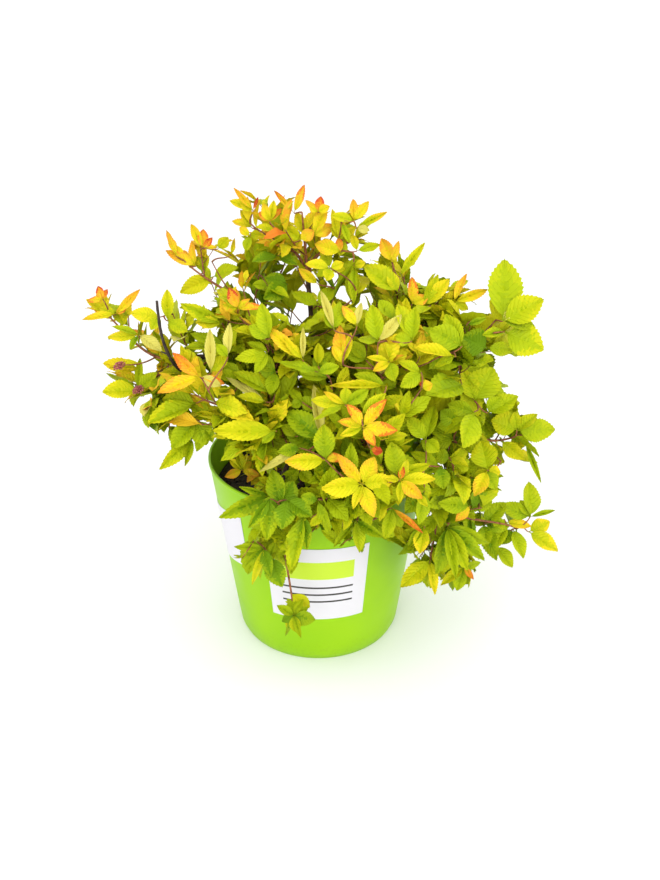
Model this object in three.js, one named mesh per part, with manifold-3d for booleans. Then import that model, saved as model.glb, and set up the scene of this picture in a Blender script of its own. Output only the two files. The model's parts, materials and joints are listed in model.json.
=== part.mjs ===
// A young golden spirea (a clump-forming shrub) in a three-litre plastic nursery container.
//
// Millimetres, +Z up. The origin is the centre of the container's flat underside. -Y is the front,
// where the large label is, and +X is the side with the broadest leaves.
//
// The container, its root ball, the woody stock and every bough are single solids. Each spray of
// foliage is one solid too: a stem that carries on from its bough's tip, side shoots, and leaves
// whose roots are sunk in the shoots. Neighbouring solids keep GAP between them.

import * as THREE from 'three';
import { mergeVertices } from 'three/addons/utils/BufferGeometryUtils.js';
import Module from 'manifold-3d';

const wasm = await Module();
wasm.setup();

// ---------------------------------------------------------------- driving dimensions

const GAP = 0.3;
const SPRAY_GAP = 0.1;
const JOIN_TOLERANCE = 0.03;
const CUT = GAP * 1.25;
const SEEDS = { soil: 7, shoots: 1051, leaves: 5001 };

const POT = {
  height: 166.7,
  rimRadius: 92.5,
  wallFootRadius: 71.8,
  standRadius: 69.5,
  standHeight: 4.5,
  wall: 1.8,
  floor: 3,
  rimRound: 0.6,
  segments: 40,
  holes: 6,
  holeRadius: 5,
  holeRing: 56,
};

const SOIL = {
  top: 140,
  relief: 2.6,
  rings: [0, 24, 40, 60],
};

const LABELS = [
  { name: 'front_label', middle: 270, span: 57.5 },
  { name: 'side_label', middle: 185, span: 57.5 },
];
const LABEL = { bottom: 49, top: 124.5, thickness: 0.5, steps: 8 };

const STOCK = {
  foot: SOIL.top + GAP,
  flareRadius: 18,
  neckRadius: 12.5,
  crownRadius: 10.5,
  height: 25,
  boughReach: 6,
  lobes: 5,
  lobeDepth: 0.16,
};

const BOUGH = { footRadius: 2.8, tipRadius: 2.1, sides: 5, steps: 4 };
const TWIG = {
  footRadius: 1.7,
  endRadius: 0.9,
  shootRadius: 0.85,
  tipRadius: 0.6,
  sides: 3,
  steps: 3,
  shootSteps: 2,
  shootBare: 0.22,
  spread: 36,
};

const LEAF = {
  thicknessShare: 0.022,
  widestAt: 0.42,
  fold: 0.22,
  sunk: 0.1,
  neck: 0.16,
  overTip: 0.75,
  spacing: 28,
  divergence: 144,
  tilt: 100,
  tuft: 3,
  tuftSpacing: 4,
};

const HEAD = { radius: 4.4, flatness: 0.7 };

const COLOURS = {
  pot: 0x8fd125,
  soil: 0x2b211b,
  label: 0xe9e7ea,
  bark: 0x3a2620,
  deadWood: 0x1f1715,
  amber: 0xe8a91c,
  gold: 0xd3cf12,
  lime: 0xa9c80f,
  green: 0x7fae12,
};

// ---------------------------------------------------------------- the shrub's plan

// Leaves' lengths, and their widths as a share of that.
const LEAF_KINDS = {
  bud: { length: 25, broad: 0.54 },
  young: { length: 34, broad: 0.42 },
  slim: { length: 47, broad: 0.36 },
  full: { length: 39, broad: 0.46 },
  round: { length: 41, broad: 0.54 },
  large: { length: 52, broad: 0.58 },
};

// A place is [azimuth, reach, height]: degrees about +Z from +X, then millimetres from the axis
// and above the underside.
//
// A bough starts on the stock at the azimuth `foot`, or on another bough, `from`, at the share
// `at` of its length. `lift` is how steeply it leaves: 1 is straight up, 0 is level.
//
// A spray carries on from its bough's tip and its outermost leaf reaches the spray's own `tip`.
// `shoots` is how many side shoots it has, `spread` their length at its foot if it isn't the
// usual one, `bare` the share of the stem with no leaves, `hang` how far the leaves sag, and
// `heads` how many of its shoots end in a dry flower head.
const BOUGHS = [
  {
    name: 'bough_top', foot: 90, tip: [118, 16, 318], lift: 0.95,
    sprays: [
      { name: 'top', tip: [158, 13, 390], shoots: 2, leaf: 'young', tint: 'amber' },
      { name: 'top_left', tip: [151, 76, 371], shoots: 2, leaf: 'young', tint: 'amber' },
      { name: 'top_right', tip: [0, 44, 368], shoots: 2, leaf: 'young', tint: 'gold' },
    ],
  },
  {
    name: 'bough_upper_left', foot: 164, tip: [159, 60, 290], lift: 0.85,
    sprays: [
      { name: 'upper_left', tip: [168, 124, 342], shoots: 2, spread: 30, leaf: 'young', tint: 'amber' },
      { name: 'inner_left', tip: [204, 88, 318], shoots: 2, leaf: 'full', tint: 'lime' },
    ],
  },
  {
    name: 'bough_left', foot: 200, tip: [190, 106, 258], lift: 0.7,
    sprays: [
      { name: 'far_left', tip: [183, 180, 308], shoots: 2, leaf: 'young', tint: 'amber' },
      { name: 'left_low', tip: [192, 172, 242], shoots: 3, leaf: 'full', tint: 'lime', heads: 2 },
      { name: 'left_droop', tip: [205, 134, 186], shoots: 2, leaf: 'full', tint: 'green', hang: 0.4 },
    ],
  },
  {
    name: 'bough_left_front', foot: 230, tip: [232, 62, 222], lift: 0.7,
    sprays: [
      { name: 'left_front', tip: [218, 140, 276], shoots: 2, spread: 40, leaf: 'slim', tint: 'gold' },
      { name: 'left_sill', tip: [236, 118, 236], shoots: 2, leaf: 'slim', tint: 'gold' },
      { name: 'heart_left', tip: [250, 96, 240], shoots: 2, leaf: 'full', tint: 'green' },
    ],
  },
  {
    name: 'bough_front_left', foot: 270, tip: [254, 97, 184], lift: 0.75,
    sprays: [
      { name: 'front_left', tip: [245, 126, 122], shoots: 3, leaf: 'full', tint: 'lime', hang: 0.5 },
      {
        name: 'front_trail', tip: [262, 121, 66], shoots: 0, bare: 0.8, hang: 0.5,
        leaf: 'bud', tint: 'lime',
      },
    ],
  },
  {
    name: 'bough_front', foot: 304, tip: [290, 94, 216], lift: 0.7,
    sprays: [
      { name: 'front', tip: [286, 140, 264], shoots: 2, leaf: 'full', tint: 'amber' },
      { name: 'front_right', tip: [301, 154, 214], shoots: 3, leaf: 'full', tint: 'gold' },
    ],
  },
  {
    name: 'bough_right', foot: 338, tip: [343, 128, 200], lift: 0.6,
    sprays: [
      { name: 'right_side', tip: [352, 192, 206], shoots: 3, leaf: 'round', tint: 'lime' },
      { name: 'right_low', tip: [344, 194, 108], shoots: 2, leaf: 'round', tint: 'green', hang: 0.3 },
    ],
  },
  {
    name: 'bough_right_high', foot: 12, tip: [349, 108, 262], lift: 0.8,
    sprays: [
      { name: 'right_high', tip: [349, 160, 326], shoots: 2, leaf: 'large', tint: 'lime' },
      { name: 'right_mid', tip: [337, 154, 256], shoots: 2, leaf: 'large', tint: 'green' },
    ],
  },
  {
    name: 'bough_back_right', foot: 50, tip: [52, 100, 244], lift: 0.75,
    sprays: [
      { name: 'back_right', tip: [44, 178, 258], shoots: 3, spread: 44, leaf: 'round', tint: 'lime' },
      { name: 'back_crown', tip: [52, 108, 320], shoots: 3, spread: 42, leaf: 'full', tint: 'lime' },
      { name: 'back_low_right', tip: [24, 158, 186], shoots: 2, leaf: 'round', tint: 'green', hang: 0.3 },
    ],
  },
  {
    name: 'bough_back_left', foot: 125, tip: [122, 92, 254], lift: 0.75,
    sprays: [
      { name: 'back_left', tip: [136, 176, 262], shoots: 2, spread: 44, leaf: 'full', tint: 'lime' },
      { name: 'back_high', tip: [104, 88, 334], shoots: 3, spread: 42, leaf: 'full', tint: 'gold' },
      {
        name: 'back_low', tip: [104, 166, 176], shoots: 2, spread: 44, hang: 0.4,
        leaf: 'round', tint: 'green',
      },
    ],
  },
  {
    name: 'bough_crest', from: 'bough_top', at: 0.5, tip: [12, 62, 280], lift: 0.7,
    sprays: [
      { name: 'crest', tip: [11, 80, 336], shoots: 2, leaf: 'young', tint: 'gold' },
      { name: 'upper_right', tip: [350, 122, 308], shoots: 3, leaf: 'full', tint: 'lime' },
    ],
  },
  {
    name: 'bough_mid_left', from: 'bough_upper_left', at: 0.4, tip: [226, 46, 260], lift: 0.7,
    sprays: [
      { name: 'mid_left', tip: [219, 84, 326], shoots: 2, leaf: 'young', tint: 'amber' },
      { name: 'centre', tip: [258, 78, 304], shoots: 3, leaf: 'full', tint: 'lime' },
      { name: 'heart_high', tip: [346, 50, 332], shoots: 2, spread: 40, leaf: 'full', tint: 'lime' },
    ],
  },
  {
    name: 'bough_centre_right', from: 'bough_front', at: 0.5, tip: [318, 70, 246], lift: 0.8,
    sprays: [
      { name: 'centre_right', tip: [308, 112, 302], shoots: 3, spread: 40, leaf: 'full', tint: 'gold' },
      { name: 'heart', tip: [262, 86, 264], shoots: 3, leaf: 'full', tint: 'lime' },
    ],
  },
  {
    name: 'bough_low_right', from: 'bough_right', at: 0.72, tip: [322, 114, 172], lift: 0.4,
    sprays: [
      { name: 'right_inner', tip: [328, 148, 206], shoots: 2, leaf: 'round', tint: 'lime' },
      { name: 'low_right', tip: [326, 156, 82], shoots: 2, leaf: 'round', tint: 'green', hang: 0.5 },
      { name: 'low_inner', tip: [312, 134, 90], shoots: 2, leaf: 'full', tint: 'gold', hang: 0.5 },
    ],
  },
  {
    name: 'bough_front_low', from: 'bough_front', at: 0.42, tip: [282, 92, 184], lift: 0.4,
    sprays: [
      { name: 'front_mid', tip: [278, 144, 208], shoots: 2, leaf: 'full', tint: 'amber' },
      { name: 'sill', tip: [264, 126, 196], shoots: 2, leaf: 'full', tint: 'green' },
      { name: 'front_low', tip: [292, 136, 148], shoots: 2, leaf: 'full', tint: 'green', hang: 0.5 },
    ],
  },
];

// The sprig that springs from the stock itself, at the azimuth `foot`.
const SPRIG = {
  name: 'sprig',
  foot: 222,
  tip: [206, 74, 168],
  shoots: 1,
  spread: 20,
  bare: 0.5,
  leaf: 'bud',
  tint: 'amber',
};

// The dead, leafless stub that stands on the left-hand bough.
const STUB = {
  from: 'bough_left',
  at: 0.94,
  tip: [199, 125, 314],
  lift: 0.6,
  footRadius: 1.8,
  tipRadius: 1.4,
  sides: 5,
  steps: 3,
  spurAt: 0.45,
  spurTip: [196, 137, 278],
  spurRadius: 0.9,
};

const SPRAYS = [...BOUGHS.flatMap((bough) => bough.sprays), SPRIG];

// ---------------------------------------------------------------- small tools

const UP = new THREE.Vector3(0, 0, 1);
const HEART = new THREE.Vector3(0, 0, 190);

// The turns in degrees, and the trims, that a leaf tries until it is clear.
const LEAF_TRIALS = [[0, 1], [24, 1], [-24, 1], [48, 0.9], [-48, 0.9], [0, 0.75], [72, 0.75]];

const radians = THREE.MathUtils.degToRad;

/** The point at an azimuth in degrees, a reach from the axis and a height. */
function place(azimuth, reach, height) {
  const turn = radians(azimuth);
  return new THREE.Vector3(reach * Math.cos(turn), reach * Math.sin(turn), height);
}

/** Repeatable numbers from 0 to 1, the same for the same seed. */
function dice(seed) {
  let state = seed >>> 0;
  return () => {
    state = (state + 0x6d2b79f5) >>> 0;
    let mixed = Math.imul(state ^ (state >>> 15), state | 1);
    mixed ^= mixed + Math.imul(mixed ^ (mixed >>> 7), mixed | 61);
    return ((mixed ^ (mixed >>> 14)) >>> 0) / 4294967296;
  };
}

/** `vector` without its part along the unit vector `axis`, at unit length. */
function across(vector, axis) {
  return vector.clone().addScaledVector(axis, -vector.dot(axis)).normalize();
}

/** A unit vector square to `axis`, upward unless the axis itself is nearly upright. */
function sideways(axis) {
  return across(Math.abs(axis.z) > 0.9 ? new THREE.Vector3(1, 0, 0) : UP, axis);
}

/** A smooth curve that leaves `start` along `away` and reaches `end` along `onward`. */
function sweep(start, away, end, onward) {
  const reach = start.distanceTo(end);
  const first = start.clone().addScaledVector(away, reach * 0.42);
  const second = end.clone().addScaledVector(onward, -reach * 0.3);
  return new THREE.CubicBezierCurve3(start, first, second, end);
}

/** A closed three.js geometry as a solid that can be joined and cut. */
function solidFrom(geometry) {
  const bare = geometry.clone();
  bare.deleteAttribute('normal');
  bare.deleteAttribute('uv');
  const merged = mergeVertices(bare, 1e-4);
  return new wasm.Manifold(
    new wasm.Mesh({
      numProp: 3,
      vertProperties: new Float32Array(merged.attributes.position.array),
      triVerts: new Uint32Array(merged.index.array),
    }),
  );
}

/** A solid as a three.js geometry, flat shaded. */
function geometryFrom(solid) {
  const mesh = solid.getMesh();
  const geometry = new THREE.BufferGeometry();
  geometry.setAttribute('position', new THREE.BufferAttribute(mesh.vertProperties, 3));
  geometry.setIndex(new THREE.BufferAttribute(mesh.triVerts, 1));
  const flat = geometry.toNonIndexed();
  flat.computeVertexNormals();
  return flat;
}

/** The largest body of a solid, so that no scrap stays loose beside it. */
function largestBody(solid) {
  const bodies = solid.decompose();
  return bodies.reduce((best, body) => (body.volume() > best.volume() ? body : best));
}

function finish(name, solid, colour, roughness) {
  const material = new THREE.MeshStandardMaterial({ color: colour, roughness, metalness: 0 });
  const mesh = new THREE.Mesh(geometryFrom(solid), material);
  mesh.name = name;
  return mesh;
}

// ---------------------------------------------------------------- limbs

/**
 * A tapering limb along a curve: a closed cylinder of `sides` flats, bent so that its axis runs
 * straight from ring to ring along the curve.
 */
function limb(curve, footRadius, tipRadius, sides, steps) {
  const frames = curve.computeFrenetFrames(steps);
  const centres = Array.from({ length: steps + 1 }, (_, i) => curve.getPointAt(i / steps));
  const onRing = (i, x, z) => {
    const radius = THREE.MathUtils.lerp(footRadius, tipRadius, i / steps);
    return centres[i]
      .clone()
      .addScaledVector(frames.normals[i], x * radius)
      .addScaledVector(frames.binormals[i], -z * radius);
  };
  const geometry = new THREE.CylinderGeometry(1, 1, 1, sides, steps);
  const corners = Array.from({ length: steps + 1 }, () => []);
  const position = geometry.attributes.position;
  for (let i = 0; i < position.count; i++) {
    const ring = Math.round((position.getY(i) + 0.5) * steps);
    const corner = onRing(ring, position.getX(i), position.getZ(i));
    position.setXYZ(i, corner.x, corner.y, corner.z);
    if (i < (sides + 1) * (steps + 1)) corners[ring].push(corner);
  }
  return {
    solid: solidFrom(geometry),
    length: curve.getLength(),
    centres,
    heading: frames.tangents[steps],
    segments: corners.slice(1).map((ring, i) => convexSet([...corners[i], ...ring])),
  };
}

/** The point on a limb's axis at a share of its length, and the way the axis runs there. */
function alongLimb(shape, share) {
  const steps = shape.centres.length - 1;
  const step = Math.min(Math.floor(share * steps), steps - 1);
  const [from, to] = [shape.centres[step], shape.centres[step + 1]];
  return {
    point: from.clone().lerp(to, share * steps - step),
    onward: to.clone().sub(from).normalize(),
  };
}

// ---------------------------------------------------------------- clearance

/** A convex set of points with its bounding sphere. */
function convexSet(points) {
  const sphere = new THREE.Sphere().setFromPoints(points);
  return { points, centre: sphere.center, radius: sphere.radius };
}

function furthest(points, direction) {
  return points.reduce((best, p) => (p.dot(direction) > best.dot(direction) ? p : best));
}

/**
 * Whether two convex sets are at least `least` apart, by Gilbert's method: a point of their
 * difference is drawn towards the origin until a plane parts them or the steps run out.
 */
function clearOf(a, b, least) {
  if (a.centre.distanceTo(b.centre) > a.radius + b.radius + least) return true;
  const nearest = a.centre.clone().sub(b.centre);
  for (let step = 0; step < 40; step++) {
    if (nearest.length() < 1e-6) return false;
    const direction = nearest.clone().normalize();
    const back = direction.clone().negate();
    const support = furthest(a.points, back).clone().sub(furthest(b.points, direction));
    if (support.dot(direction) > least) return true;
    const edge = support.clone().sub(nearest);
    const share = THREE.MathUtils.clamp(-nearest.dot(edge) / edge.lengthSq(), 0, 1);
    nearest.addScaledVector(edge, share);
  }
  return false;
}

/**
 * Everything that a new leaf or twig has to stay clear of. An item belongs to a node. Its
 * `whole` keeps GAP from other nodes, and its `blade`, which leaves out a leaf's neck, keeps
 * SPRAY_GAP from the rest of its own node. A limb's leaves may touch the limb itself.
 */
class Surroundings {
  constructor() {
    this.items = [];
  }

  add(item) {
    this.items.push(item);
  }

  addSolid(points, node) {
    const whole = convexSet(points);
    this.add({ node, limb: null, whole, blade: whole });
  }

  addLimb(shape, node, limb) {
    for (const whole of shape.segments) this.add({ node, limb, whole, blade: whole });
  }

  allows(candidate) {
    return this.items.every((item) => {
      if (item.node !== candidate.node) return clearOf(candidate.whole, item.whole, GAP);
      if (item.limb && item.limb === candidate.limb) return true;
      return clearOf(candidate.blade, item.blade, SPRAY_GAP);
    });
  }
}

// ---------------------------------------------------------------- container, soil and labels

/** The outer radius of the container's wall at a height. */
function wallRadius(height) {
  const share = (height - POT.standHeight) / (POT.height - POT.standHeight);
  return THREE.MathUtils.lerp(POT.wallFootRadius, POT.rimRadius, share);
}

function turned(profile, segments) {
  const points = profile.map(([radius, height]) => new THREE.Vector2(radius, height));
  return new THREE.LatheGeometry(points, segments).rotateX(Math.PI / 2);
}

function container() {
  const innerFoot = wallRadius(POT.standHeight) - POT.wall;
  const shell = solidFrom(
    turned(
      [
        [0, 0],
        [POT.standRadius, 0],
        [POT.standRadius + 0.8, POT.standHeight - 1.4],
        [POT.wallFootRadius, POT.standHeight],
        [POT.rimRadius, POT.height - POT.rimRound],
        [POT.rimRadius - POT.rimRound, POT.height],
        [POT.rimRadius - POT.wall, POT.height],
        [innerFoot - 1, POT.floor],
        [0, POT.floor],
      ],
      POT.segments,
    ),
  );
  const drill = new THREE.CylinderGeometry(POT.holeRadius, POT.holeRadius, POT.floor * 4, 8);
  drill.rotateX(Math.PI / 2);
  const holes = Array.from({ length: POT.holes }, (_, i) => {
    const centre = place((360 * (i + 0.5)) / POT.holes, POT.holeRing, 0);
    return solidFrom(drill.clone().translate(centre.x, centre.y, centre.z));
  });
  return shell.subtract(wasm.Manifold.union(holes));
}

/** The root ball: it fills the container and has an uneven top, flat where the stock stands. */
function rootBall() {
  const roll = dice(SEEDS.soil);
  const side = (height) => wallRadius(height) - POT.wall - GAP * 1.6;
  const floor = POT.floor + GAP;
  const edge = [side(SOIL.top), SOIL.top];
  const profile = [[0, floor], [side(floor) - 0.8, floor], edge];
  for (const radius of SOIL.rings.slice().reverse()) profile.push([radius, SOIL.top]);
  const geometry = turned(profile, POT.segments);
  const heights = new Map();
  const position = geometry.attributes.position;
  for (let i = 0; i < position.count; i++) {
    const [x, y, z] = [position.getX(i), position.getY(i), position.getZ(i)];
    const radius = Math.hypot(x, y);
    if (z < SOIL.top - 0.01 || radius < SOIL.rings[1] + 1 || radius > edge[0] - 1) continue;
    const key = `${Math.round(x * 10)} ${Math.round(y * 10)}`;
    if (!heights.has(key)) heights.set(key, SOIL.top + (roll() * 2 - 1.2) * SOIL.relief);
    position.setZ(i, heights.get(key));
  }
  return solidFrom(geometry);
}

/** A label: a thin plate that follows the tapered wall, GAP outside it. */
function label({ middle, span }) {
  const standoff = GAP + wallRadius(LABEL.top) * (1 - Math.cos(Math.PI / POT.segments)) + 0.1;
  const plate = new THREE.BoxGeometry(1, 1, 1, LABEL.steps, 1, 1);
  const position = plate.attributes.position;
  for (let i = 0; i < position.count; i++) {
    const azimuth = middle + span * position.getX(i);
    const height = position.getY(i) > 0 ? LABEL.top : LABEL.bottom;
    const outward = position.getZ(i) > 0 ? LABEL.thickness : 0;
    const corner = place(azimuth, wallRadius(height) + standoff - GAP * 0.4 + outward, height);
    position.setXYZ(i, corner.x, corner.y, corner.z);
  }
  return solidFrom(plate);
}

/** The wall, the labels' zone and the root ball as convex pieces for the clearance test. */
function addContainerTo(surroundings) {
  const step = 360 / POT.segments;
  for (let i = 0; i < POT.segments; i++) {
    const wedge = [];
    for (const azimuth of [i * step, (i + 1) * step]) {
      for (const height of [0, POT.height]) {
        const outer = wallRadius(height) + LABEL.thickness + 2 * GAP;
        wedge.push(place(azimuth, outer, height), place(azimuth, outer - POT.wall - 2, height));
      }
    }
    surroundings.addSolid(wedge, 'container');
  }
  const ball = [];
  for (let i = 0; i < POT.segments; i++) {
    for (const height of [0, SOIL.top + SOIL.relief]) {
      ball.push(place(i * step, wallRadius(height) - POT.wall, height));
    }
  }
  surroundings.addSolid(ball, 'root_ball');
}

// ---------------------------------------------------------------- stock and boughs

/** The woody stock at the clump's foot. `extra` thickens it all round. */
function stock(extra) {
  const top = STOCK.foot + STOCK.height;
  const geometry = turned(
    [
      [0, STOCK.foot - extra],
      [STOCK.flareRadius + extra, STOCK.foot - extra],
      [STOCK.flareRadius * 0.78 + extra, STOCK.foot + 4],
      [STOCK.neckRadius + extra, STOCK.foot + 11],
      [STOCK.crownRadius + 1 + extra, top - 8],
      [STOCK.crownRadius * 0.8 + extra, top - 2 + extra],
      [0, top + extra],
    ],
    20,
  );
  const position = geometry.attributes.position;
  for (let i = 0; i < position.count; i++) {
    const [x, y, z] = [position.getX(i), position.getY(i), position.getZ(i)];
    const share = 1 - THREE.MathUtils.clamp((z - STOCK.foot) / STOCK.height, 0, 1);
    const lobe = 1 + STOCK.lobeDepth * share * Math.cos(STOCK.lobes * Math.atan2(y, x));
    position.setXY(i, x * lobe, y * lobe);
  }
  return solidFrom(geometry);
}

/** The mean of the places where the sprays' outermost leaves are. */
function meanTip(carried) {
  const mean = new THREE.Vector3();
  for (const spray of carried) mean.addScaledVector(place(...spray.tip), 1 / carried.length);
  return mean;
}

/** The curve of a bough from inside what carries it to its tip. */
function boughCurve(row, parent, aim) {
  const tip = place(...row.tip);
  const start = parent
    ? alongLimb(parent, row.at).point
    : place(row.foot, STOCK.boughReach, STOCK.foot + STOCK.height * 0.45);
  const level = parent ? across(tip.clone().sub(start), UP) : place(row.foot, 1, 0);
  const away = level.multiplyScalar(1 - row.lift).addScaledVector(UP, row.lift).normalize();
  return sweep(start, away, tip, (aim ?? tip).clone().sub(aim ? tip : start).normalize());
}

/** All boughs by name, each cut clear of what carries it. */
function boughs() {
  const made = new Map();
  const { footRadius, tipRadius, sides, steps } = BOUGH;
  for (const row of BOUGHS) {
    const parent = made.get(row.from);
    const curve = boughCurve(row, parent, meanTip(row.sprays));
    const shape = limb(curve, footRadius, tipRadius, sides, steps);
    const space = limb(curve, footRadius + CUT, tipRadius + CUT, sides, steps).solid;
    const carrier = parent ? parent.space : stock(CUT);
    made.set(row.name, { ...shape, space, solid: largestBody(shape.solid.subtract(carrier)) });
  }
  return made;
}

/** The dead stub with the short spur on its side, cut clear of its bough. */
function deadStub(boughsByName) {
  const parent = boughsByName.get(STUB.from);
  const { footRadius, tipRadius, sides, steps } = STUB;
  const stem = limb(boughCurve(STUB, parent), footRadius, tipRadius, sides, steps);
  const { point, onward } = alongLimb(stem, STUB.spurAt);
  const spurTip = place(...STUB.spurTip);
  const aside = across(spurTip.clone().sub(point), onward);
  const spur = limb(
    sweep(point, aside, spurTip, aside),
    STUB.spurRadius,
    STUB.spurRadius * 0.7,
    STUB.sides,
    2,
  );
  const solid = largestBody(stem.solid.add(spur.solid).subtract(parent.space));
  return { stem, spur, solid };
}

// ---------------------------------------------------------------- leaves and sprays

/** A folded leaf's six corners (root, tip, both edges, midrib top and underside) and its neck. */
function leafCorners(root, along, facing, length, width) {
  const side = new THREE.Vector3().crossVectors(facing, along);
  const at = (forward, aside, raised) =>
    root
      .clone()
      .addScaledVector(along, forward * length)
      .addScaledVector(side, aside)
      .addScaledVector(facing, raised);
  return {
    root: at(0, 0, 0).addScaledVector(along, -LEAF.sunk),
    neck: at(LEAF.neck, 0, 0),
    tip: at(1, 0, 0),
    left: at(LEAF.widestAt, -width / 2, (width / 2) * LEAF.fold),
    right: at(LEAF.widestAt, width / 2, (width / 2) * LEAF.fold),
    top: at(LEAF.widestAt, 0, length * LEAF.thicknessShare),
    under: at(LEAF.widestAt, 0, 0),
  };
}

/** A leaf as an octahedron drawn out to its six corners. */
function leafSolid(corners) {
  const geometry = new THREE.OctahedronGeometry(1, 0);
  const position = geometry.attributes.position;
  for (let i = 0; i < position.count; i++) {
    const [x, y, z] = [position.getX(i), position.getY(i), position.getZ(i)];
    const corner =
      (x > 0.5 && corners.tip) ||
      (x < -0.5 && corners.root) ||
      (y > 0.5 && corners.right) ||
      (y < -0.5 && corners.left) ||
      (z > 0.5 ? corners.top : corners.under);
    position.setXYZ(i, corner.x, corner.y, corner.z);
  }
  return solidFrom(geometry);
}

/** A dry, flat-topped flower head at a shoot's end. */
function flowerHead({ point, onward }) {
  const centre = point.clone().addScaledVector(onward, 1.5);
  const { radius, flatness } = HEAD;
  const head = new THREE.IcosahedronGeometry(radius, 0).scale(1, 1, flatness);
  head.translate(centre.x, centre.y, centre.z);
  const { position } = head.attributes;
  const points = Array.from({ length: position.count }, (_, i) =>
    new THREE.Vector3().fromBufferAttribute(position, i),
  );
  return { solid: solidFrom(head), points };
}

/** Where along a shoot its leaves stand: well spaced at first, then closer in a tip tuft. */
function leafNodes(length, bareShare) {
  const nodes = [];
  const tuftStart = length - LEAF.tuft * LEAF.tuftSpacing;
  for (let at = Math.max(length * bareShare, 6); at < tuftStart; at += LEAF.spacing) {
    nodes.push({ share: at / length, tuft: 0 });
  }
  for (let i = 0; i < LEAF.tuft; i++) {
    const at = length - 1.2 - (LEAF.tuft - 1 - i) * LEAF.tuftSpacing;
    nodes.push({ share: at / length, tuft: (i + 1) / LEAF.tuft });
  }
  return nodes;
}

/** The leaves that a shoot should have, as sizes and angles that don't depend on its neighbours. */
function leafPlans(spray, shoot, roll) {
  const start = roll() * 360;
  const kind = LEAF_KINDS[spray.leaf];
  return leafNodes(shoot.length, shoot.bare).map(({ share, tuft }, i) => {
    const size = (tuft > 0 ? 1 - 0.3 * tuft : 0.9) + 0.2 * roll();
    return {
      share,
      turn: start + i * LEAF.divergence + (roll() - 0.5) * 30,
      spreadAngle: (tuft === 1 ? 6 : THREE.MathUtils.lerp(66, 44, tuft)) + roll() * 12,
      tilt: radians((roll() - 0.5) * LEAF.tilt),
      length: kind.length * size,
      width: kind.length * size * kind.broad * (0.9 + 0.2 * roll()),
    };
  });
}

/** One leaf of a shoot, turned and trimmed until it is clear of its surroundings, or null. */
function fitLeaf(spray, shoot, plan, surroundings) {
  const { point: root, onward } = alongLimb(shoot, plan.share);
  const level = sideways(onward);
  for (const [turn, trim] of LEAF_TRIALS) {
    const outward = level.clone().applyAxisAngle(onward, radians(plan.turn + turn));
    const angle = radians(plan.spreadAngle);
    const along = onward.clone().multiplyScalar(Math.cos(angle));
    along.addScaledVector(outward, Math.sin(angle));
    along.addScaledVector(UP, 0.12 - 0.75 * (spray.hang ?? 0)).normalize();
    const light = UP.clone().addScaledVector(root.clone().sub(HEART).normalize(), 0.7);
    const facing = across(light, along).applyAxisAngle(along, plan.tilt);
    const corners = leafCorners(root, along, facing, plan.length * trim, plan.width * trim);
    const { root: sunk, neck, ...rim } = corners;
    const item = {
      node: spray.name,
      limb: shoot.limb,
      whole: convexSet([sunk, ...Object.values(rim)]),
      blade: convexSet([neck, ...Object.values(rim)]),
    };
    if (surroundings.allows(item)) {
      surroundings.add({ ...item, limb: null });
      return leafSolid(corners);
    }
  }
  return null;
}

/** A side shoot from a stem, at a share of its length and turned about it. */
function sideShoot(spray, stem, share, length, turn) {
  const { point: start, onward: axis } = alongLimb(stem, share);
  const rise = UP.clone().multiplyScalar(0.3 - 0.6 * (spray.hang ?? 0));
  const outward = sideways(axis).applyAxisAngle(axis, radians(turn));
  const leave = axis.clone().multiplyScalar(0.62).addScaledVector(outward, 0.78).normalize();
  const end = start.clone().addScaledVector(leave.clone().add(rise).normalize(), length);
  const heading = end.clone().sub(start).normalize().addScaledVector(rise, 0.8).normalize();
  return limb(
    sweep(start, leave, end, heading),
    TWIG.shootRadius,
    TWIG.tipRadius,
    TWIG.sides,
    TWIG.shootSteps,
  );
}

/** The stem of a spray, from its foot to where its last leaf starts. */
function mainStem(spray, foot, away) {
  const tip = place(...spray.tip);
  const nod = new THREE.Vector3(0, 0, 0.25 - (spray.hang ?? 0));
  const onward = tip.clone().sub(foot).normalize().add(nod).normalize();
  const end = tip.addScaledVector(onward, -LEAF.overTip * LEAF_KINDS[spray.leaf].length);
  return limb(
    sweep(foot, away, end, onward),
    TWIG.footRadius,
    TWIG.endRadius,
    TWIG.sides,
    TWIG.steps,
  );
}

/** The shoots of a spray: its stem, and the side shoots that are clear of everything else. */
function growShoots(spray, index, stem, surroundings) {
  const roll = dice(SEEDS.shoots + index * 17);
  const bare = spray.bare ?? 0.12;
  const shoots = [{ ...stem, bare, limb: spray.name }];
  let turn = roll() * 360;
  for (let i = 0; i < spray.shoots; i++) {
    turn += 137.5 + (roll() - 0.5) * 30;
    const share = THREE.MathUtils.lerp(Math.max(bare, 0.1), 0.82, (i + 0.5) / spray.shoots);
    const length = (spray.spread ?? TWIG.spread) * (1.05 - 0.4 * share) * (0.85 + 0.3 * roll());
    const shape = sideShoot(spray, stem, share, length, turn);
    const isClear = shape.segments.every((whole) =>
      surroundings.allows({ node: spray.name, limb: spray.name, whole, blade: whole }),
    );
    if (!isClear) continue;
    const limbName = `${spray.name} ${i}`;
    surroundings.addLimb(shape, spray.name, limbName);
    shoots.push({ ...shape, bare: TWIG.shootBare, limb: limbName });
  }
  return shoots;
}

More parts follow.
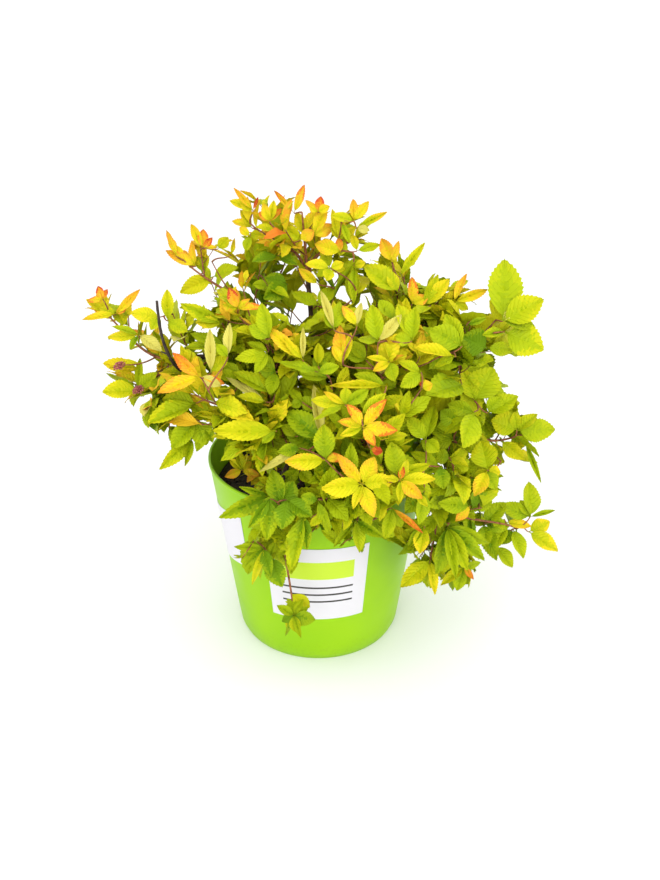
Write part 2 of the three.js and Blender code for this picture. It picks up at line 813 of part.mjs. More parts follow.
/**
 * Where the stems of a bough's sprays start: side by side round its tip, GAP clear of it and of
 * each other, in the order in which their own tips lie round the bough.
 */
function forkFeet(bough, carried) {
  const away = bough.heading;
  const foot = bough.centres.at(-1).clone().addScaledVector(away, GAP);
  if (carried.length === 1) return new Map([[carried[0].name, foot]]);
  const offset = (TWIG.footRadius + GAP / 2 + 0.05) / Math.sin(Math.PI / carried.length);
  const mean = meanTip(carried);
  const first = across(place(...carried[0].tip).sub(mean), away);
  const second = new THREE.Vector3().crossVectors(away, first);
  const bearing = (spray) => {
    const aside = place(...spray.tip).sub(mean);
    return (Math.atan2(aside.dot(second), aside.dot(first)) + 2 * Math.PI + 0.01) % (2 * Math.PI);
  };
  const inOrder = [...carried].sort((a, b) => bearing(a) - bearing(b));
  return new Map(
    inOrder.map((spray, i) => {
      const aside = first.clone().applyAxisAngle(away, (i * 2 * Math.PI) / carried.length);
      return [spray.name, foot.clone().addScaledVector(aside, offset)];
    }),
  );
}

/** Where each spray's stem starts and which way it sets off, with the spray's row number. */
function startingPoints(boughsByName) {
  const starts = [];
  for (const row of BOUGHS) {
    const bough = boughsByName.get(row.name);
    const feet = forkFeet(bough, row.sprays);
    for (const spray of row.sprays) {
      starts.push({ spray, foot: feet.get(spray.name), away: bough.heading });
    }
  }
  const inStock = place(SPRIG.foot, STOCK.boughReach, STOCK.foot + STOCK.height * 0.45);
  starts.push({ spray: SPRIG, foot: inStock, away: place(SPRIG.foot, 0.8, 0.6).normalize() });
  return starts;
}

/**
 * Every spray as one solid: all the stems first, then the side shoots, then the leaves, which are
 * dealt out in turn so that all sprays get room.
 */
function sprays(boughsByName, surroundings) {
  const growing = startingPoints(boughsByName);
  for (const plant of growing) {
    plant.stem = mainStem(plant.spray, plant.foot, plant.away);
    surroundings.addLimb(plant.stem, plant.spray.name, plant.spray.name);
  }
  for (const plant of growing) {
    const index = SPRAYS.indexOf(plant.spray);
    plant.shoots = growShoots(plant.spray, index, plant.stem, surroundings);
    plant.solids = plant.shoots.map((shoot) => shoot.solid);
    for (const shoot of plant.shoots.slice(1, 1 + (plant.spray.heads ?? 0))) {
      const head = flowerHead(alongLimb(shoot, 1));
      plant.solids.push(head.solid);
      surroundings.addSolid(head.points, plant.spray.name);
    }
    const roll = dice(SEEDS.leaves + index * 31);
    plant.waiting = plant.shoots.flatMap((shoot) =>
      leafPlans(plant.spray, shoot, roll).map((plan) => ({ shoot, plan })),
    );
    plant.waiting.sort((a, b) => b.plan.length - a.plan.length);
  }
  while (growing.some((plant) => plant.waiting.length)) {
    for (const plant of growing) {
      const next = plant.waiting.shift();
      const leaf = next && fitLeaf(plant.spray, next.shoot, next.plan, surroundings);
      if (leaf) plant.solids.push(leaf);
    }
  }
  return growing.map((plant) => {
    const joined = wasm.Manifold.union(plant.solids).simplify(JOIN_TOLERANCE);
    return { spray: plant.spray, solid: largestBody(joined.subtract(stock(CUT))) };
  });
}

// ---------------------------------------------------------------- assembly

const shrub = new THREE.Group();
const surroundings = new Surroundings();
const boughsByName = boughs();
const stub = deadStub(boughsByName);

shrub.add(finish('container', container(), COLOURS.pot, 0.45));
shrub.add(finish('root_ball', rootBall(), COLOURS.soil, 0.95));
for (const row of LABELS) shrub.add(finish(row.name, label(row), COLOURS.label, 0.6));
shrub.add(finish('stock', stock(0), COLOURS.bark, 0.85));
shrub.add(finish('dead_stub', stub.solid, COLOURS.deadWood, 0.9));
surroundings.addLimb(stub.stem, 'dead_stub', 'stem');
surroundings.addLimb(stub.spur, 'dead_stub', 'spur');
for (const [name, bough] of boughsByName) {
  shrub.add(finish(name, bough.solid, COLOURS.bark, 0.8));
  surroundings.addLimb(bough, name, name);
}
addContainerTo(surroundings);
for (const { spray, solid } of sprays(boughsByName, surroundings)) {
  shrub.add(finish(`spray_${spray.name}`, solid, COLOURS[spray.tint], 0.6));
}

export default shrub;
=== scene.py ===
"""The looks of a young golden spirea in its nursery pot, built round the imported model.

Everything is in metres and +Z up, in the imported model's own frame: the origin is the centre of the
pot's underside, and the front is -Y. The plant's plan below is written in millimetres, as gardeners
and the part's own source give it, and is turned into metres by place() and the MM factor.

The boughs, stems and side shoots grow by the same seeded rule as the part's solids do. From there
the rule is carried on to twiglets and to true-sized leaves with toothed edges.
"""

import json
import logging
import math
from dataclasses import dataclass, field
from enum import Enum

import bmesh
import bpy
import numpy as np
from bmesh.types import BMEdge, BMesh, BMVert
from bpy.types import Material, Node, NodeSocket, NodeTree, Object
from mathutils import Matrix, Quaternion, Vector, noise

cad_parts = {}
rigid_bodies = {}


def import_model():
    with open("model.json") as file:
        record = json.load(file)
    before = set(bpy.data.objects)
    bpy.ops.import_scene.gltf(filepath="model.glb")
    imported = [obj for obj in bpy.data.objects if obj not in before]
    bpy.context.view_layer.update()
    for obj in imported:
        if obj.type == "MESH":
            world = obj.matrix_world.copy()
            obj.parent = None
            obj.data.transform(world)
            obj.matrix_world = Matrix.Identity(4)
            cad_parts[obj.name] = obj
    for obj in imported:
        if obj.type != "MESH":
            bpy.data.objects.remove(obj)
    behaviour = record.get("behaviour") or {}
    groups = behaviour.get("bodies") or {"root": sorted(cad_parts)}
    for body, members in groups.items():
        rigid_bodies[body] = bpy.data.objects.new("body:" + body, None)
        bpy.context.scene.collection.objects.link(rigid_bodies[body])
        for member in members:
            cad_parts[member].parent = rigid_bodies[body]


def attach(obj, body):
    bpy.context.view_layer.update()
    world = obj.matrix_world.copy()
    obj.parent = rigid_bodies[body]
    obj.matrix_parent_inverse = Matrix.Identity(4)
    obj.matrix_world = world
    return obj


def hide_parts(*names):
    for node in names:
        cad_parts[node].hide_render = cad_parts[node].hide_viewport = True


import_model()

LOG = logging.getLogger("spirea")

MM = 0.001
MASK = 0xFFFFFFFF
UP = Vector((0.0, 0.0, 1.0))
BODY = "root"

Colour = tuple[float, float, float]
Place = tuple[float, float, float]
Pair = tuple[float, float]
Spot = Pair


# ---- numbers and directions


def linear(level: int) -> float:
    """A screen colour's level, 0 to 255, as the linear share that a shader takes."""
    share = level / 255
    return share / 12.92 if share <= 0.04045 else ((share + 0.055) / 1.055) ** 2.4


def srgb(red: int, green: int, blue: int) -> Colour:
    """A screen colour as the linear colour that a shader takes."""
    return (linear(red), linear(green), linear(blue))


def lerp(low: float, high: float, share: float) -> float:
    """The value that lies at a share of the way from low to high."""
    return low + (high - low) * share


def place(azimuth: float, reach: float, height: float) -> Vector:
    """A point of the plan: degrees from +X, millimetres from the axis and above the foot."""
    turn = math.radians(azimuth)
    return Vector((reach * math.cos(turn), reach * math.sin(turn), height)) * MM


def across(vector: Vector, axis: Vector) -> Vector:
    """A vector without its part along a unit axis, at unit length."""
    return (vector - axis * vector.dot(axis)).normalized()


def sideways(axis: Vector) -> Vector:
    """A unit vector square to an axis, upward unless the axis is nearly upright."""
    return across(Vector((1.0, 0.0, 0.0)) if abs(axis.z) > 0.9 else UP, axis)


def turned(vector: Vector, axis: Vector, angle: float) -> Vector:
    """A vector turned about a unit axis by an angle in radians."""
    return Quaternion(axis, angle) @ vector


class Dice:
    """Repeatable numbers from 0 to 1, the same ones as the part's source draws."""

    def __init__(self, seed: int) -> None:
        """Starts the row of numbers that belongs to a seed."""
        self.state = seed & MASK

    def roll(self) -> float:
        """Rolls the next number.

        Returns:
            The number, from 0 up to 1.
        """
        self.state = (self.state + 0x6D2B79F5) & MASK
        mixed = ((self.state ^ (self.state >> 15)) * (self.state | 1)) & MASK
        mixed ^= (mixed + (mixed ^ (mixed >> 7)) * (mixed | 61)) & MASK
        return (mixed ^ (mixed >> 14)) / 4294967296

    def between(self, low: float, high: float) -> float:
        """The next number, stretched to lie between low and high."""
        return lerp(low, high, self.roll())

    def pick(self, choices: "Weights") -> "Tint":
        """One of some tints, drawn by its weight.

        Args:
            choices: Pairs of a tint and its weight.

        Returns:
            The tint drawn.
        """
        left = self.roll() * sum(weight for _, weight in choices)
        for tint, weight in choices:
            left -= weight
            if left < 0:
                return tint
        return choices[-1][0]


# ---- the shrub's plan


class LeafKind(Enum):
    """The kinds of leaf: the solids' length and the true length in millimetres, and how broad."""

    BUD = (25.0, 21.0, 0.48)
    YOUNG = (34.0, 29.0, 0.37)
    SLIM = (47.0, 46.0, 0.31)
    FULL = (39.0, 36.0, 0.40)
    ROUND = (41.0, 37.0, 0.48)
    LARGE = (52.0, 53.0, 0.52)

    @property
    def solid_length(self) -> float:
        """The length of such a leaf in the part's source, in metres."""
        return self.value[0] * MM

    @property
    def length(self) -> float:
        """The true length of a full-grown leaf, in metres."""
        return self.value[1] * MM

    @property
    def broad(self) -> float:
        """The leaf's width as a share of its length."""
        return self.value[2]

    @property
    def twiglet_step(self) -> int:
        """1 where a shoot bears all its twiglets, and more where large leaves leave less room."""
        return {LeafKind.SLIM: 2, LeafKind.LARGE: 4}.get(self, 1)

    @property
    def carry_on(self) -> float:
        """How far a shoot runs on past the solid's, for its smaller tip leaves to reach as far."""
        return 0.75 * self.solid_length - 0.65 * self.length


class Mood(Enum):
    """The overall tint of a spray, named as the record's material slots are."""

    AMBER = "foliage_amber"
    GOLD = "foliage_gold"
    LIME = "foliage_lime"
    GREEN = "foliage_green"


@dataclass(frozen=True)
class Spray:
    """One spray of foliage: a stem with side shoots that carries on from a bough's tip."""

    name: str
    tip: Place
    shoots: int
    leaf: LeafKind
    mood: Mood
    spread: float = 36.0
    bare: float = 0.12
    hang: float = 0.0
    foot_on: str = ""

    @property
    def node(self) -> str:
        """The name of the CAD node that this spray stands for."""
        return f"spray_{self.name}"


@dataclass(frozen=True)
class Bough:
    """One bough: it starts on the stock at an azimuth, or on another bough at a share of it."""

    name: str
    tip: Place
    lift: float
    sprays: tuple[Spray, ...]
    foot: float = 0.0
    parent: str = ""
    share: float = 0.0


BUD, YOUNG, SLIM = LeafKind.BUD, LeafKind.YOUNG, LeafKind.SLIM
FULL, ROUND, LARGE = LeafKind.FULL, LeafKind.ROUND, LeafKind.LARGE
AMBER, GOLD, LIME, GREEN = Mood.AMBER, Mood.GOLD, Mood.LIME, Mood.GREEN

BOUGHS = (
    Bough("bough_top", (118, 16, 318), 0.95, foot=90, sprays=(
        Spray("top", (158, 13, 390), 2, YOUNG, AMBER),
        Spray("top_left", (151, 76, 371), 2, YOUNG, AMBER),
        Spray("top_right", (0, 44, 368), 2, YOUNG, GOLD),
    )),
    Bough("bough_upper_left", (159, 60, 290), 0.85, foot=164, sprays=(
        Spray("upper_left", (168, 124, 342), 2, YOUNG, AMBER, spread=30),
        Spray("inner_left", (204, 88, 318), 2, FULL, LIME),
    )),
    Bough("bough_left", (190, 106, 258), 0.7, foot=200, sprays=(
        Spray("far_left", (183, 180, 308), 2, YOUNG, AMBER),
        Spray("left_low", (192, 172, 242), 3, FULL, GOLD),
        Spray("left_droop", (205, 134, 186), 2, FULL, GREEN, hang=0.4),
    )),
    Bough("bough_left_front", (232, 62, 222), 0.7, foot=230, sprays=(
        Spray("left_front", (218, 140, 276), 2, SLIM, GOLD, spread=40),
        Spray("left_sill", (236, 118, 236), 2, SLIM, GOLD),
        Spray("heart_left", (250, 96, 240), 2, FULL, GREEN),
    )),
    Bough("bough_front_left", (254, 97, 184), 0.75, foot=270, sprays=(
        Spray("front_left", (245, 126, 122), 3, FULL, GREEN, hang=0.5),
        Spray("front_trail", (262, 121, 66), 0, BUD, LIME, hang=0.5, bare=0.8),
    )),
    Bough("bough_front", (290, 94, 216), 0.7, foot=304, sprays=(
        Spray("front", (286, 140, 264), 2, FULL, LIME),
        Spray("front_right", (301, 154, 214), 3, FULL, LIME),
    )),
    Bough("bough_right", (343, 128, 200), 0.6, foot=338, sprays=(
        Spray("right_side", (352, 192, 206), 3, ROUND, LIME),
        Spray(
            "right_low", (344, 194, 108), 2, ROUND, GREEN, hang=0.3, foot_on="bough_low_right"
        ),
    )),
    Bough("bough_right_high", (349, 108, 262), 0.8, foot=12, sprays=(
        Spray("right_high", (349, 160, 326), 2, LARGE, LIME),
        Spray("right_mid", (337, 154, 256), 2, LARGE, GREEN),
    )),
    Bough("bough_back_right", (52, 100, 244), 0.75, foot=50, sprays=(
        Spray("back_right", (44, 178, 258), 3, ROUND, LIME, spread=44),
        Spray("back_crown", (52, 108, 320), 3, FULL, LIME, spread=42),
        Spray("back_low_right", (24, 158, 186), 2, ROUND, GREEN, hang=0.3),
    )),
    Bough("bough_back_left", (122, 92, 254), 0.75, foot=125, sprays=(
        Spray("back_left", (136, 176, 262), 2, FULL, LIME, spread=44),
        Spray("back_high", (104, 88, 334), 3, FULL, GOLD, spread=42),
        Spray("back_low", (104, 166, 176), 2, ROUND, GREEN, spread=44, hang=0.4),
    )),
    Bough("bough_crest", (12, 62, 280), 0.7, parent="bough_top", share=0.5, sprays=(
        Spray("crest", (11, 80, 336), 2, YOUNG, GOLD),
        Spray("upper_right", (350, 122, 308), 3, FULL, LIME),
    )),
    Bough("bough_mid_left", (226, 46, 260), 0.7, parent="bough_upper_left", share=0.4, sprays=(
        Spray("mid_left", (219, 84, 326), 2, YOUNG, AMBER),
        Spray("centre", (258, 78, 304), 3, FULL, LIME),
        Spray("heart_high", (346, 50, 332), 2, FULL, LIME, spread=40),
    )),
    Bough("bough_centre_right", (318, 70, 246), 0.8, parent="bough_front", share=0.5, sprays=(
        Spray("centre_right", (308, 112, 302), 3, FULL, GOLD, spread=40),
        Spray("heart", (262, 86, 264), 3, FULL, LIME),
    )),
    Bough("bough_low_right", (322, 114, 172), 0.4, parent="bough_right", share=0.72, sprays=(
        Spray("right_inner", (328, 148, 206), 2, ROUND, LIME),
        Spray("low_right", (326, 156, 82), 2, ROUND, GREEN, hang=0.5),
        Spray("low_inner", (312, 134, 90), 2, FULL, GREEN, hang=0.5),
    )),
    Bough("bough_front_low", (282, 92, 184), 0.4, parent="bough_front", share=0.42, sprays=(
        Spray("front_mid", (278, 144, 208), 2, FULL, GREEN),
        Spray("sill", (264, 126, 196), 2, FULL, GREEN),
        Spray("front_low", (292, 136, 148), 2, FULL, GREEN, hang=0.5),
    )),
)

SPRIG = Spray("sprig", (206, 74, 168), 1, BUD, GOLD, spread=20, bare=0.5)
SPRIG_FOOT = 222.0
SPRAYS = (*(spray for bough in BOUGHS for spray in bough.sprays), SPRIG)


@dataclass(frozen=True)
class StubPlan:
    """The dead, leafless stub on the left-hand bough, and the spur on its side."""

    parent: str = "bough_left"
    share: float = 0.94
    tip: Place = (199, 125, 314)
    elbow: Place = (199.2, 112, 257)
    foot_radius: float = 1.5 * MM
    tip_radius: float = 1.05 * MM
    spur_share: float = 0.3
    spur_tip: Place = (196, 137, 278)
    spur_radius: float = 0.8 * MM
    spur_length: float = 6 * MM
    spur_taper: float = 0.55
    joint_rings: int = 7
    swelling: float = 1.16
    skin: Pair = (0.35 * MM, 600)
    spur_skin: Pair = (0.25 * MM, 600)


@dataclass(frozen=True)
class GrowthRule:
    """The sizes that the seeded rule works from, in metres and shares."""

    shoot_seed: int = 1051
    shoot_seed_step: int = 17
    bough_seed: int = 611
    bough_seed_step: int = 23
    leaf_seed: int = 5001
    leaf_seed_step: int = 31
    posy_seed: int = 907
    head_seed: int = 311
    gap: float = 0.3 * MM
    fork_radius: float = 1.7 * MM
    fork_slack: float = 0.05 * MM
    stem_steps: int = 3
    shoot_steps: int = 2
    shoot_bare: float = 0.22
    over_tip: float = 0.7
    divergence: float = 137.5
    fork_share: float = 0.955
    foot_on_share: float = 0.93
    stem_rise: float = 0.25
    rise: float = 0.3
    droop: float = 0.6
    last_rise: float = 0.8
    leave_along: float = 0.62
    leave_aside: float = 0.78
    turn_spread: float = 30.0
    first_shoot: float = 0.1
    last_shoot: float = 0.82
    reach: Pair = (1.05, 0.4)
    reach_draw: Pair = (0.85, 0.3)


RULE = GrowthRule()
HEART = Vector((0.0, 0.0, 190 * MM))


@dataclass(frozen=True)
class FrontView:
    """The plan's front view: a sheet on which the shrub is drawn as an eye before it sees it."""

    eye: Place = (0.0103, -0.7026, 0.5349)
    pitch: float = 63.03
    focal: float = 930.0
    centre: Spot = (330.0, 440.0)

    @property
    def axes(self) -> np.ndarray:
        """The unit vectors to the right, up the sheet and ahead, as rows."""
        sine, cosine = math.sin(math.radians(self.pitch)), math.cos(math.radians(self.pitch))
        return np.array([(1.0, 0.0, 0.0), (0.0, cosine, sine), (0.0, sine, -cosine)])

    def ray(self, spot: Spot) -> Vector:
        """The direction in which a spot of the sheet is seen; spots count right and down."""
        (right, up, ahead), (u, v) = self.axes, np.subtract(spot, self.centre) / self.focal
        return Vector(ahead + right * u - up * v)

    def at_depth(self, spot: Spot, depth: float) -> Vector:
        """The point with a given y, in millimetres, that is drawn at a spot."""
        ray = self.ray(spot)
        return Vector(self.eye) + ray * ((depth * MM - self.eye[1]) / ray.y)

    def on_plane(self, spot: Spot, through: Vector, normal: Vector) -> Vector:
        """The point of a plane that is drawn at a spot."""
        ray = self.ray(spot)
        return Vector(self.eye) + ray * ((through - Vector(self.eye)).dot(normal) / ray.dot(normal))

    def spots(self, points: list[Vector]) -> np.ndarray:
        """Where points are drawn, and how far ahead of the eye each is.

        Args:
            points: The points.

        Returns:
            A row for each: its spot, then its distance ahead in metres.
        """
        seen = (np.array(points) - np.array(self.eye)) @ self.axes.T
        u = self.centre[0] + self.focal * seen[:, 0] / seen[:, 2]
        v = self.centre[1] - self.focal * seen[:, 1] / seen[:, 2]
        return np.stack([u, v, seen[:, 2]], axis=1)


VIEW = FrontView()


def numbers(text: str) -> np.ndarray:
    """The rows of numbers that a text lists, each with commas inside it and a space after it."""
    return np.array([[float(number) for number in row.split(",")] for row in text.split()])


OUTLINE = """
206,452 196,466 158,473 168,448 176,430 152,432 142,426 144,402 100,398 100,384 114,380 99,366
112,358 130,358 130,370 142,352 143,377 152,374 162,354 128,354 130,344 138,341 101,341 108,322
78,323 88,306 83,296 95,283 110,287 143,286 130,306 160,306 160,288 175,294 176,314 184,316
176,302 190,300 216,310 212,290 224,286 238,283 212,280 200,290 177,294 176,288 196,271 165,255
163,232 168,222 182,250 188,240 188,222 205,224 208,234 228,234 231,222 230,216 244,212 226,203
226,196 240,198 230,185 250,192 268,195 268,187 286,193 300,182 306,178 308,190 304,200 314,196
322,194 326,206 338,212 350,214 348,198 372,196 370,206 390,209 390,214 374,222 372,232 366,242
378,240 385,236 402,236 404,248 398,262 400,268 412,250 424,240 426,250 412,266 402,282 408,284
410,273 416,274 424,288 438,270 450,276 455,285 466,268 470,275 468,286 490,286 486,294 474,302
466,312 470,320 486,314 488,316 485,296 489,276 498,262 506,256 516,262 523,278 526,298 547,297
547,310 541,330 548,345 548,354 520,354 508,360 490,358 500,372 505,392 522,390 522,404 520,412
540,410 552,416 562,434 532,442 532,446 545,470 546,486 537,486 530,466 518,446 527,460 518,463
500,454 506,464 506,490 494,496 482,502 516,495 530,476 536,482 540,504 556,510 556,515 540,514
536,524 554,517 554,530 562,552 548,554 532,540 526,562 516,556 516,570 510,570 498,556 488,564
484,572 474,576 476,582 470,590 456,595 452,588 438,590 438,598 430,594 425,586 398,590 404,572
416,558 404,552 392,540 376,538 366,556 336,549 326,538 312,522 314,545 304,552 294,575 290,592
306,594 320,614 318,626 304,630 304,642 282,642 273,604 286,590 268,584 248,590 250,576 240,574
230,550 233,541 248,540 250,526 216,527 215,514 228,494
"""
GAPS = """
207,332,9 190,343,3 214,262,6 237,247,6 251,220,4 257,300,5 273,312,5 276,322,4 295,312,8
306,316,6 258,343,5 265,355,3 312,335,3 325,369,3 288,380,3 446,366,8 434,400,3 329,227,5
298,209,4 309,284,5 331,274,4 347,294,6 362,298,3 371,257,6 384,280,4 281,268,6 243,288,4
209,393,6 217,404,4 506,435,3 270,550,3 234,484,7 474,309,9 481,304,4 424,555,4
"""


# ---- curves and tubes


class Sweep:
    """A smooth curve that leaves its start one way and reaches its end another way."""

    DIVISIONS = 200
    LEAVING = 0.42
    ARRIVING = 0.3

    def __init__(self, start: Vector, away: Vector, end: Vector, onward: Vector) -> None:
        """Lays the curve.

        Args:
            start: Where it starts.
            away: The unit direction in which it leaves.
            end: Where it ends.
            onward: The unit direction in which it arrives.
        """
        reach = (end - start).length
        leaves, arrives = away * reach * self.LEAVING, onward * reach * self.ARRIVING
        self.knots = (start, start + leaves, end - arrives, end)
        steps = np.linspace(0.0, 1.0, self.DIVISIONS + 1)
        line = np.array([self._at(step) for step in steps])
        stretches = np.linalg.norm(np.diff(line, axis=0), axis=1)
        self.travelled = np.concatenate([[0.0], np.cumsum(stretches)])
        self.steps = steps

    def _at(self, t: float) -> Vector:
        """The curve's point at its own parameter."""
        (a, b, c, d), s = self.knots, 1.0 - t
        return a * s**3 + b * (3 * s * s * t) + c * (3 * s * t * t) + d * t**3

    @property
    def length(self) -> float:
        """The curve's length in metres."""
        return float(self.travelled[-1])

    def point(self, share: float) -> Vector:
        """The point at a share of the curve's length."""
        t = np.interp(share * self.length, self.travelled, self.steps)
        return self._at(float(t))

    def line(self, count: int) -> list[Vector]:
        """Evenly spaced points along the curve, both ends included."""
        return [self.point(i / count) for i in range(count + 1)]


@dataclass
class Limb:
    """A limb along a curve, with the number of straight stretches that the rule reads it by."""

    curve: Sweep
    foot_radius: float
    end_radius: float
    steps: int
    onward: Vector

    def along(self, share: float) -> tuple[Vector, Vector]:
        """The point at a share of the limb, and the way that the limb runs there.

        Args:
            share: The share of its length.

        Returns:
            The point, and the unit direction of its straight stretch.
        """
        step = min(int(share * self.steps), self.steps - 1)
        first = self.curve.point(step / self.steps)
        last = self.curve.point((step + 1) / self.steps)
        return self.curve.point(share), (last - first).normalized()

    def radius(self, share: float) -> float:
        """The limb's radius at a share of its length."""
        return lerp(self.foot_radius, self.end_radius, share)

    def radii(self, count: int) -> list[float]:
        """The limb's radius at a number of evenly spaced places."""
        return [self.radius(i / (count - 1)) for i in range(count)]


def ring_frames(path: list[Vector]) -> list[Matrix]:
    """Frames square to a path, none twisted against the one before.

    Args:
        path: The points that the frames stand at.

    Returns:
        One matrix a point, whose third column runs along the path.
    """
    frames = []
    normal = Vector()
    for i, point in enumerate(path):
        ahead = path[min(i + 1, len(path) - 1)] - path[max(i - 1, 0)]
        onward = ahead.normalized()
        normal = across(normal, onward) if i else sideways(onward)
        beside = onward.cross(normal)
        turn = Matrix((normal, beside, onward)).transposed().to_4x4()
        frames.append(Matrix.Translation(point) @ turn)
    return frames


def tube(path: list[Vector], radii: list[float], sides: int) -> BMesh:
    """A closed tube, made of a ring that is extruded from point to point of a path.

    Args:
        path: The points on its axis.
        radii: Its radius at each point.
        sides: How many sides the ring has.

    Returns:
        A new mesh that holds the tube alone.
    """
    bm = bmesh.new()
    placed = [f @ Matrix.Scale(r, 4) for f, r in zip(ring_frames(path), radii)]
    bmesh.ops.create_circle(bm, cap_ends=False, segments=sides, radius=1.0, matrix=placed[0])
    ends = [list(bm.edges)]
    ring = ends[0]
    for before, after in zip(placed, placed[1:]):
        grown = bmesh.ops.extrude_edge_only(bm, edges=ring)["geom"]
        corners = [g for g in grown if isinstance(g, BMVert)]
        bmesh.ops.transform(bm, matrix=after @ before.inverted(), verts=corners)
        fresh = set(corners)
        ring = [g for g in grown if isinstance(g, BMEdge) and set(g.verts) <= fresh]
    ends.append(ring)
    for rim in ends:
        bmesh.ops.contextual_create(bm, geom=rim)
    bmesh.ops.recalc_face_normals(bm, faces=bm.faces)
    return bm


def roughen(bm: BMesh, depth: float, grain: float) -> None:
    """Gives a closed mesh an uneven skin.

    Args:
        bm: The mesh.
        depth: How far the skin moves at most, in metres.
        grain: How many lumps there are to a metre.
    """
    bm.normal_update()
    for corner in bm.verts:
        coarse = noise.noise(corner.co * grain)
        fine = noise.noise(corner.co * grain * 2.7 + UP * 7.0)
        corner.co += corner.normal * depth * (0.65 * coarse + 0.35 * fine)


def spun(profile: list[Pair], steps: int) -> BMesh:
    """A closed solid of revolution about +Z.

    Args:
        profile: Radius and height of each corner, from the axis round to the axis again.
        steps: How many flats the turn has.

    Returns:
        A new mesh that holds the solid alone.
    """
    bm = bmesh.new()
    corners = [bm.verts.new((radius, 0.0, height)) for radius, height in profile]
    line = [bm.edges.new(pair) for pair in zip(corners, corners[1:])]
    bmesh.ops.spin(
        bm, geom=[*corners, *line], axis=UP, cent=(0, 0, 0), angle=math.tau, steps=steps,
        use_merge=True,
    )
    bmesh.ops.remove_doubles(bm, verts=bm.verts, dist=1e-6)
    bmesh.ops.recalc_face_normals(bm, faces=bm.faces)
    return bm


# ---- pieces


def finished(piece: Object, material: Material, slot: str, *nodes: str) -> None:
    """Dresses a piece, hangs it on the body and lets it stand for its CAD nodes.

    Args:
        piece: The piece, in place.
        material: What it is made of.
        slot: The record's material slot; not used.
        nodes: The CAD nodes that it replaces.
    """
    piece.data.materials.clear()
    piece.data.materials.append(material)
    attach(piece, BODY)
    if nodes:
        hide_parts(*nodes)
    LOG.info("%s: %d faces", piece.name, len(piece.data.polygons))


def linked(name: str, data: object) -> Object:
    """A new object of the scene, at the origin."""
    bpy.context.scene.collection.objects.link(thing := bpy.data.objects.new(name, data))
    return thing


def piece_from(bm: BMesh, name: str, smooth: bool = True) -> Object:
    """Turns a mesh under work into an object of the scene.

    Args:
        bm: The mesh, which is freed.
        name: The piece's name.
        smooth: Whether its faces are shaded as one surface.

    Returns:
        The new object.
    """
    mesh = bpy.data.meshes.new(name)
    bm.to_mesh(mesh)
    bm.free()
    mesh.polygons.foreach_set("use_smooth", [smooth] * len(mesh.polygons))
    return linked(name, mesh)


class Pile:
    """Many small meshes that become one piece."""

    def __init__(self) -> None:
        """Starts an empty pile."""
        self.corners: list[np.ndarray] = []
        self.faces: list[tuple[int, ...]] = []
        self.maps: list[np.ndarray] = []
        self.count = 0

    def add(self, corners: np.ndarray, faces: list[tuple[int, ...]], spots: np.ndarray) -> None:
        """Lays a mesh on the pile.

        Args:
            corners: The places of its corners.
            faces: The corners of each face, counted from 0.
            spots: The place of each corner on the piece's UV map.
        """
        self.corners.append(corners)
        self.maps.append(spots)
        self.faces.extend(tuple(i + self.count for i in face) for face in faces)
        self.count += len(corners)

    def add_mesh(self, bm: BMesh) -> None:
        """Lays a mesh under work on the pile.

        Args:
            bm: The mesh, which is freed.
        """
        bm.verts.index_update()
        corners = np.array([corner.co for corner in bm.verts])
        faces = [tuple(corner.index for corner in face.verts) for face in bm.faces]
        self.add(corners, faces, np.zeros((len(corners), 2)))
        bm.free()

    def add_tube(
        self, path: list[Vector], radii: list[float], sides: int, rough: Pair | None = None
    ) -> None:
        """Lays a closed tube on the pile.

        Args:
            path: The points on its axis.
            radii: Its radius at each point.
            sides: How many sides it has.
            rough: The depth and grain to roughen it with, if any.
        """
        bm = tube(path, radii, sides)
        if rough:
            roughen(bm, *rough)
        self.add_mesh(bm)

    def add_ball(self, radius: float, matrix: Matrix) -> None:
        """Lays a coarse ball on the pile.

        Args:
            radius: Its radius.
            matrix: Where it lies, and how it is turned and stretched.
        """
        bm = bmesh.new()
        bmesh.ops.create_icosphere(bm, subdivisions=1, radius=radius, matrix=matrix)
        self.add_mesh(bm)

    def piece(self, name: str, mapped: bool = False) -> Object:
        """Makes one object of the whole pile.

        Args:
            name: The piece's name.
            mapped: Whether it keeps its UV map.

        Returns:
            The new object.
        """
        mesh = bpy.data.meshes.new(name)
        mesh.from_pydata(np.concatenate(self.corners).tolist(), [], self.faces)
        mesh.polygons.foreach_set("use_smooth", [True] * len(mesh.polygons))
        if mapped:
            corner_of = np.zeros(len(mesh.loops), np.int32)
            mesh.loops.foreach_get("vertex_index", corner_of)
            layer = mesh.uv_layers.new(name="UVMap")
            layer.data.foreach_set("uv", np.concatenate(self.maps)[corner_of].ravel())
        return linked(name, mesh)


# ---- shader tools


class Effect(Enum):
    """The shared groups: name, inputs with their defaults, the output and its kind."""

    MOTTLE = (
        "Mottle", {"Scale": 60.0, "Detail": 3.0, "Low": 0.0, "High": 1.0},
        "Value", "NodeSocketFloat",
    )
    RELIEF = (
        "Relief", {"Scale": 400.0, "Strength": 0.3, "Distance": 0.0004},
        "Normal", "NodeSocketVector",
    )
    VEINS = (
        "Leaf veins", {"Count": 8.0, "Slant": 0.55, "Strength": 0.85},
        "Normal", "NodeSocketVector",
    )


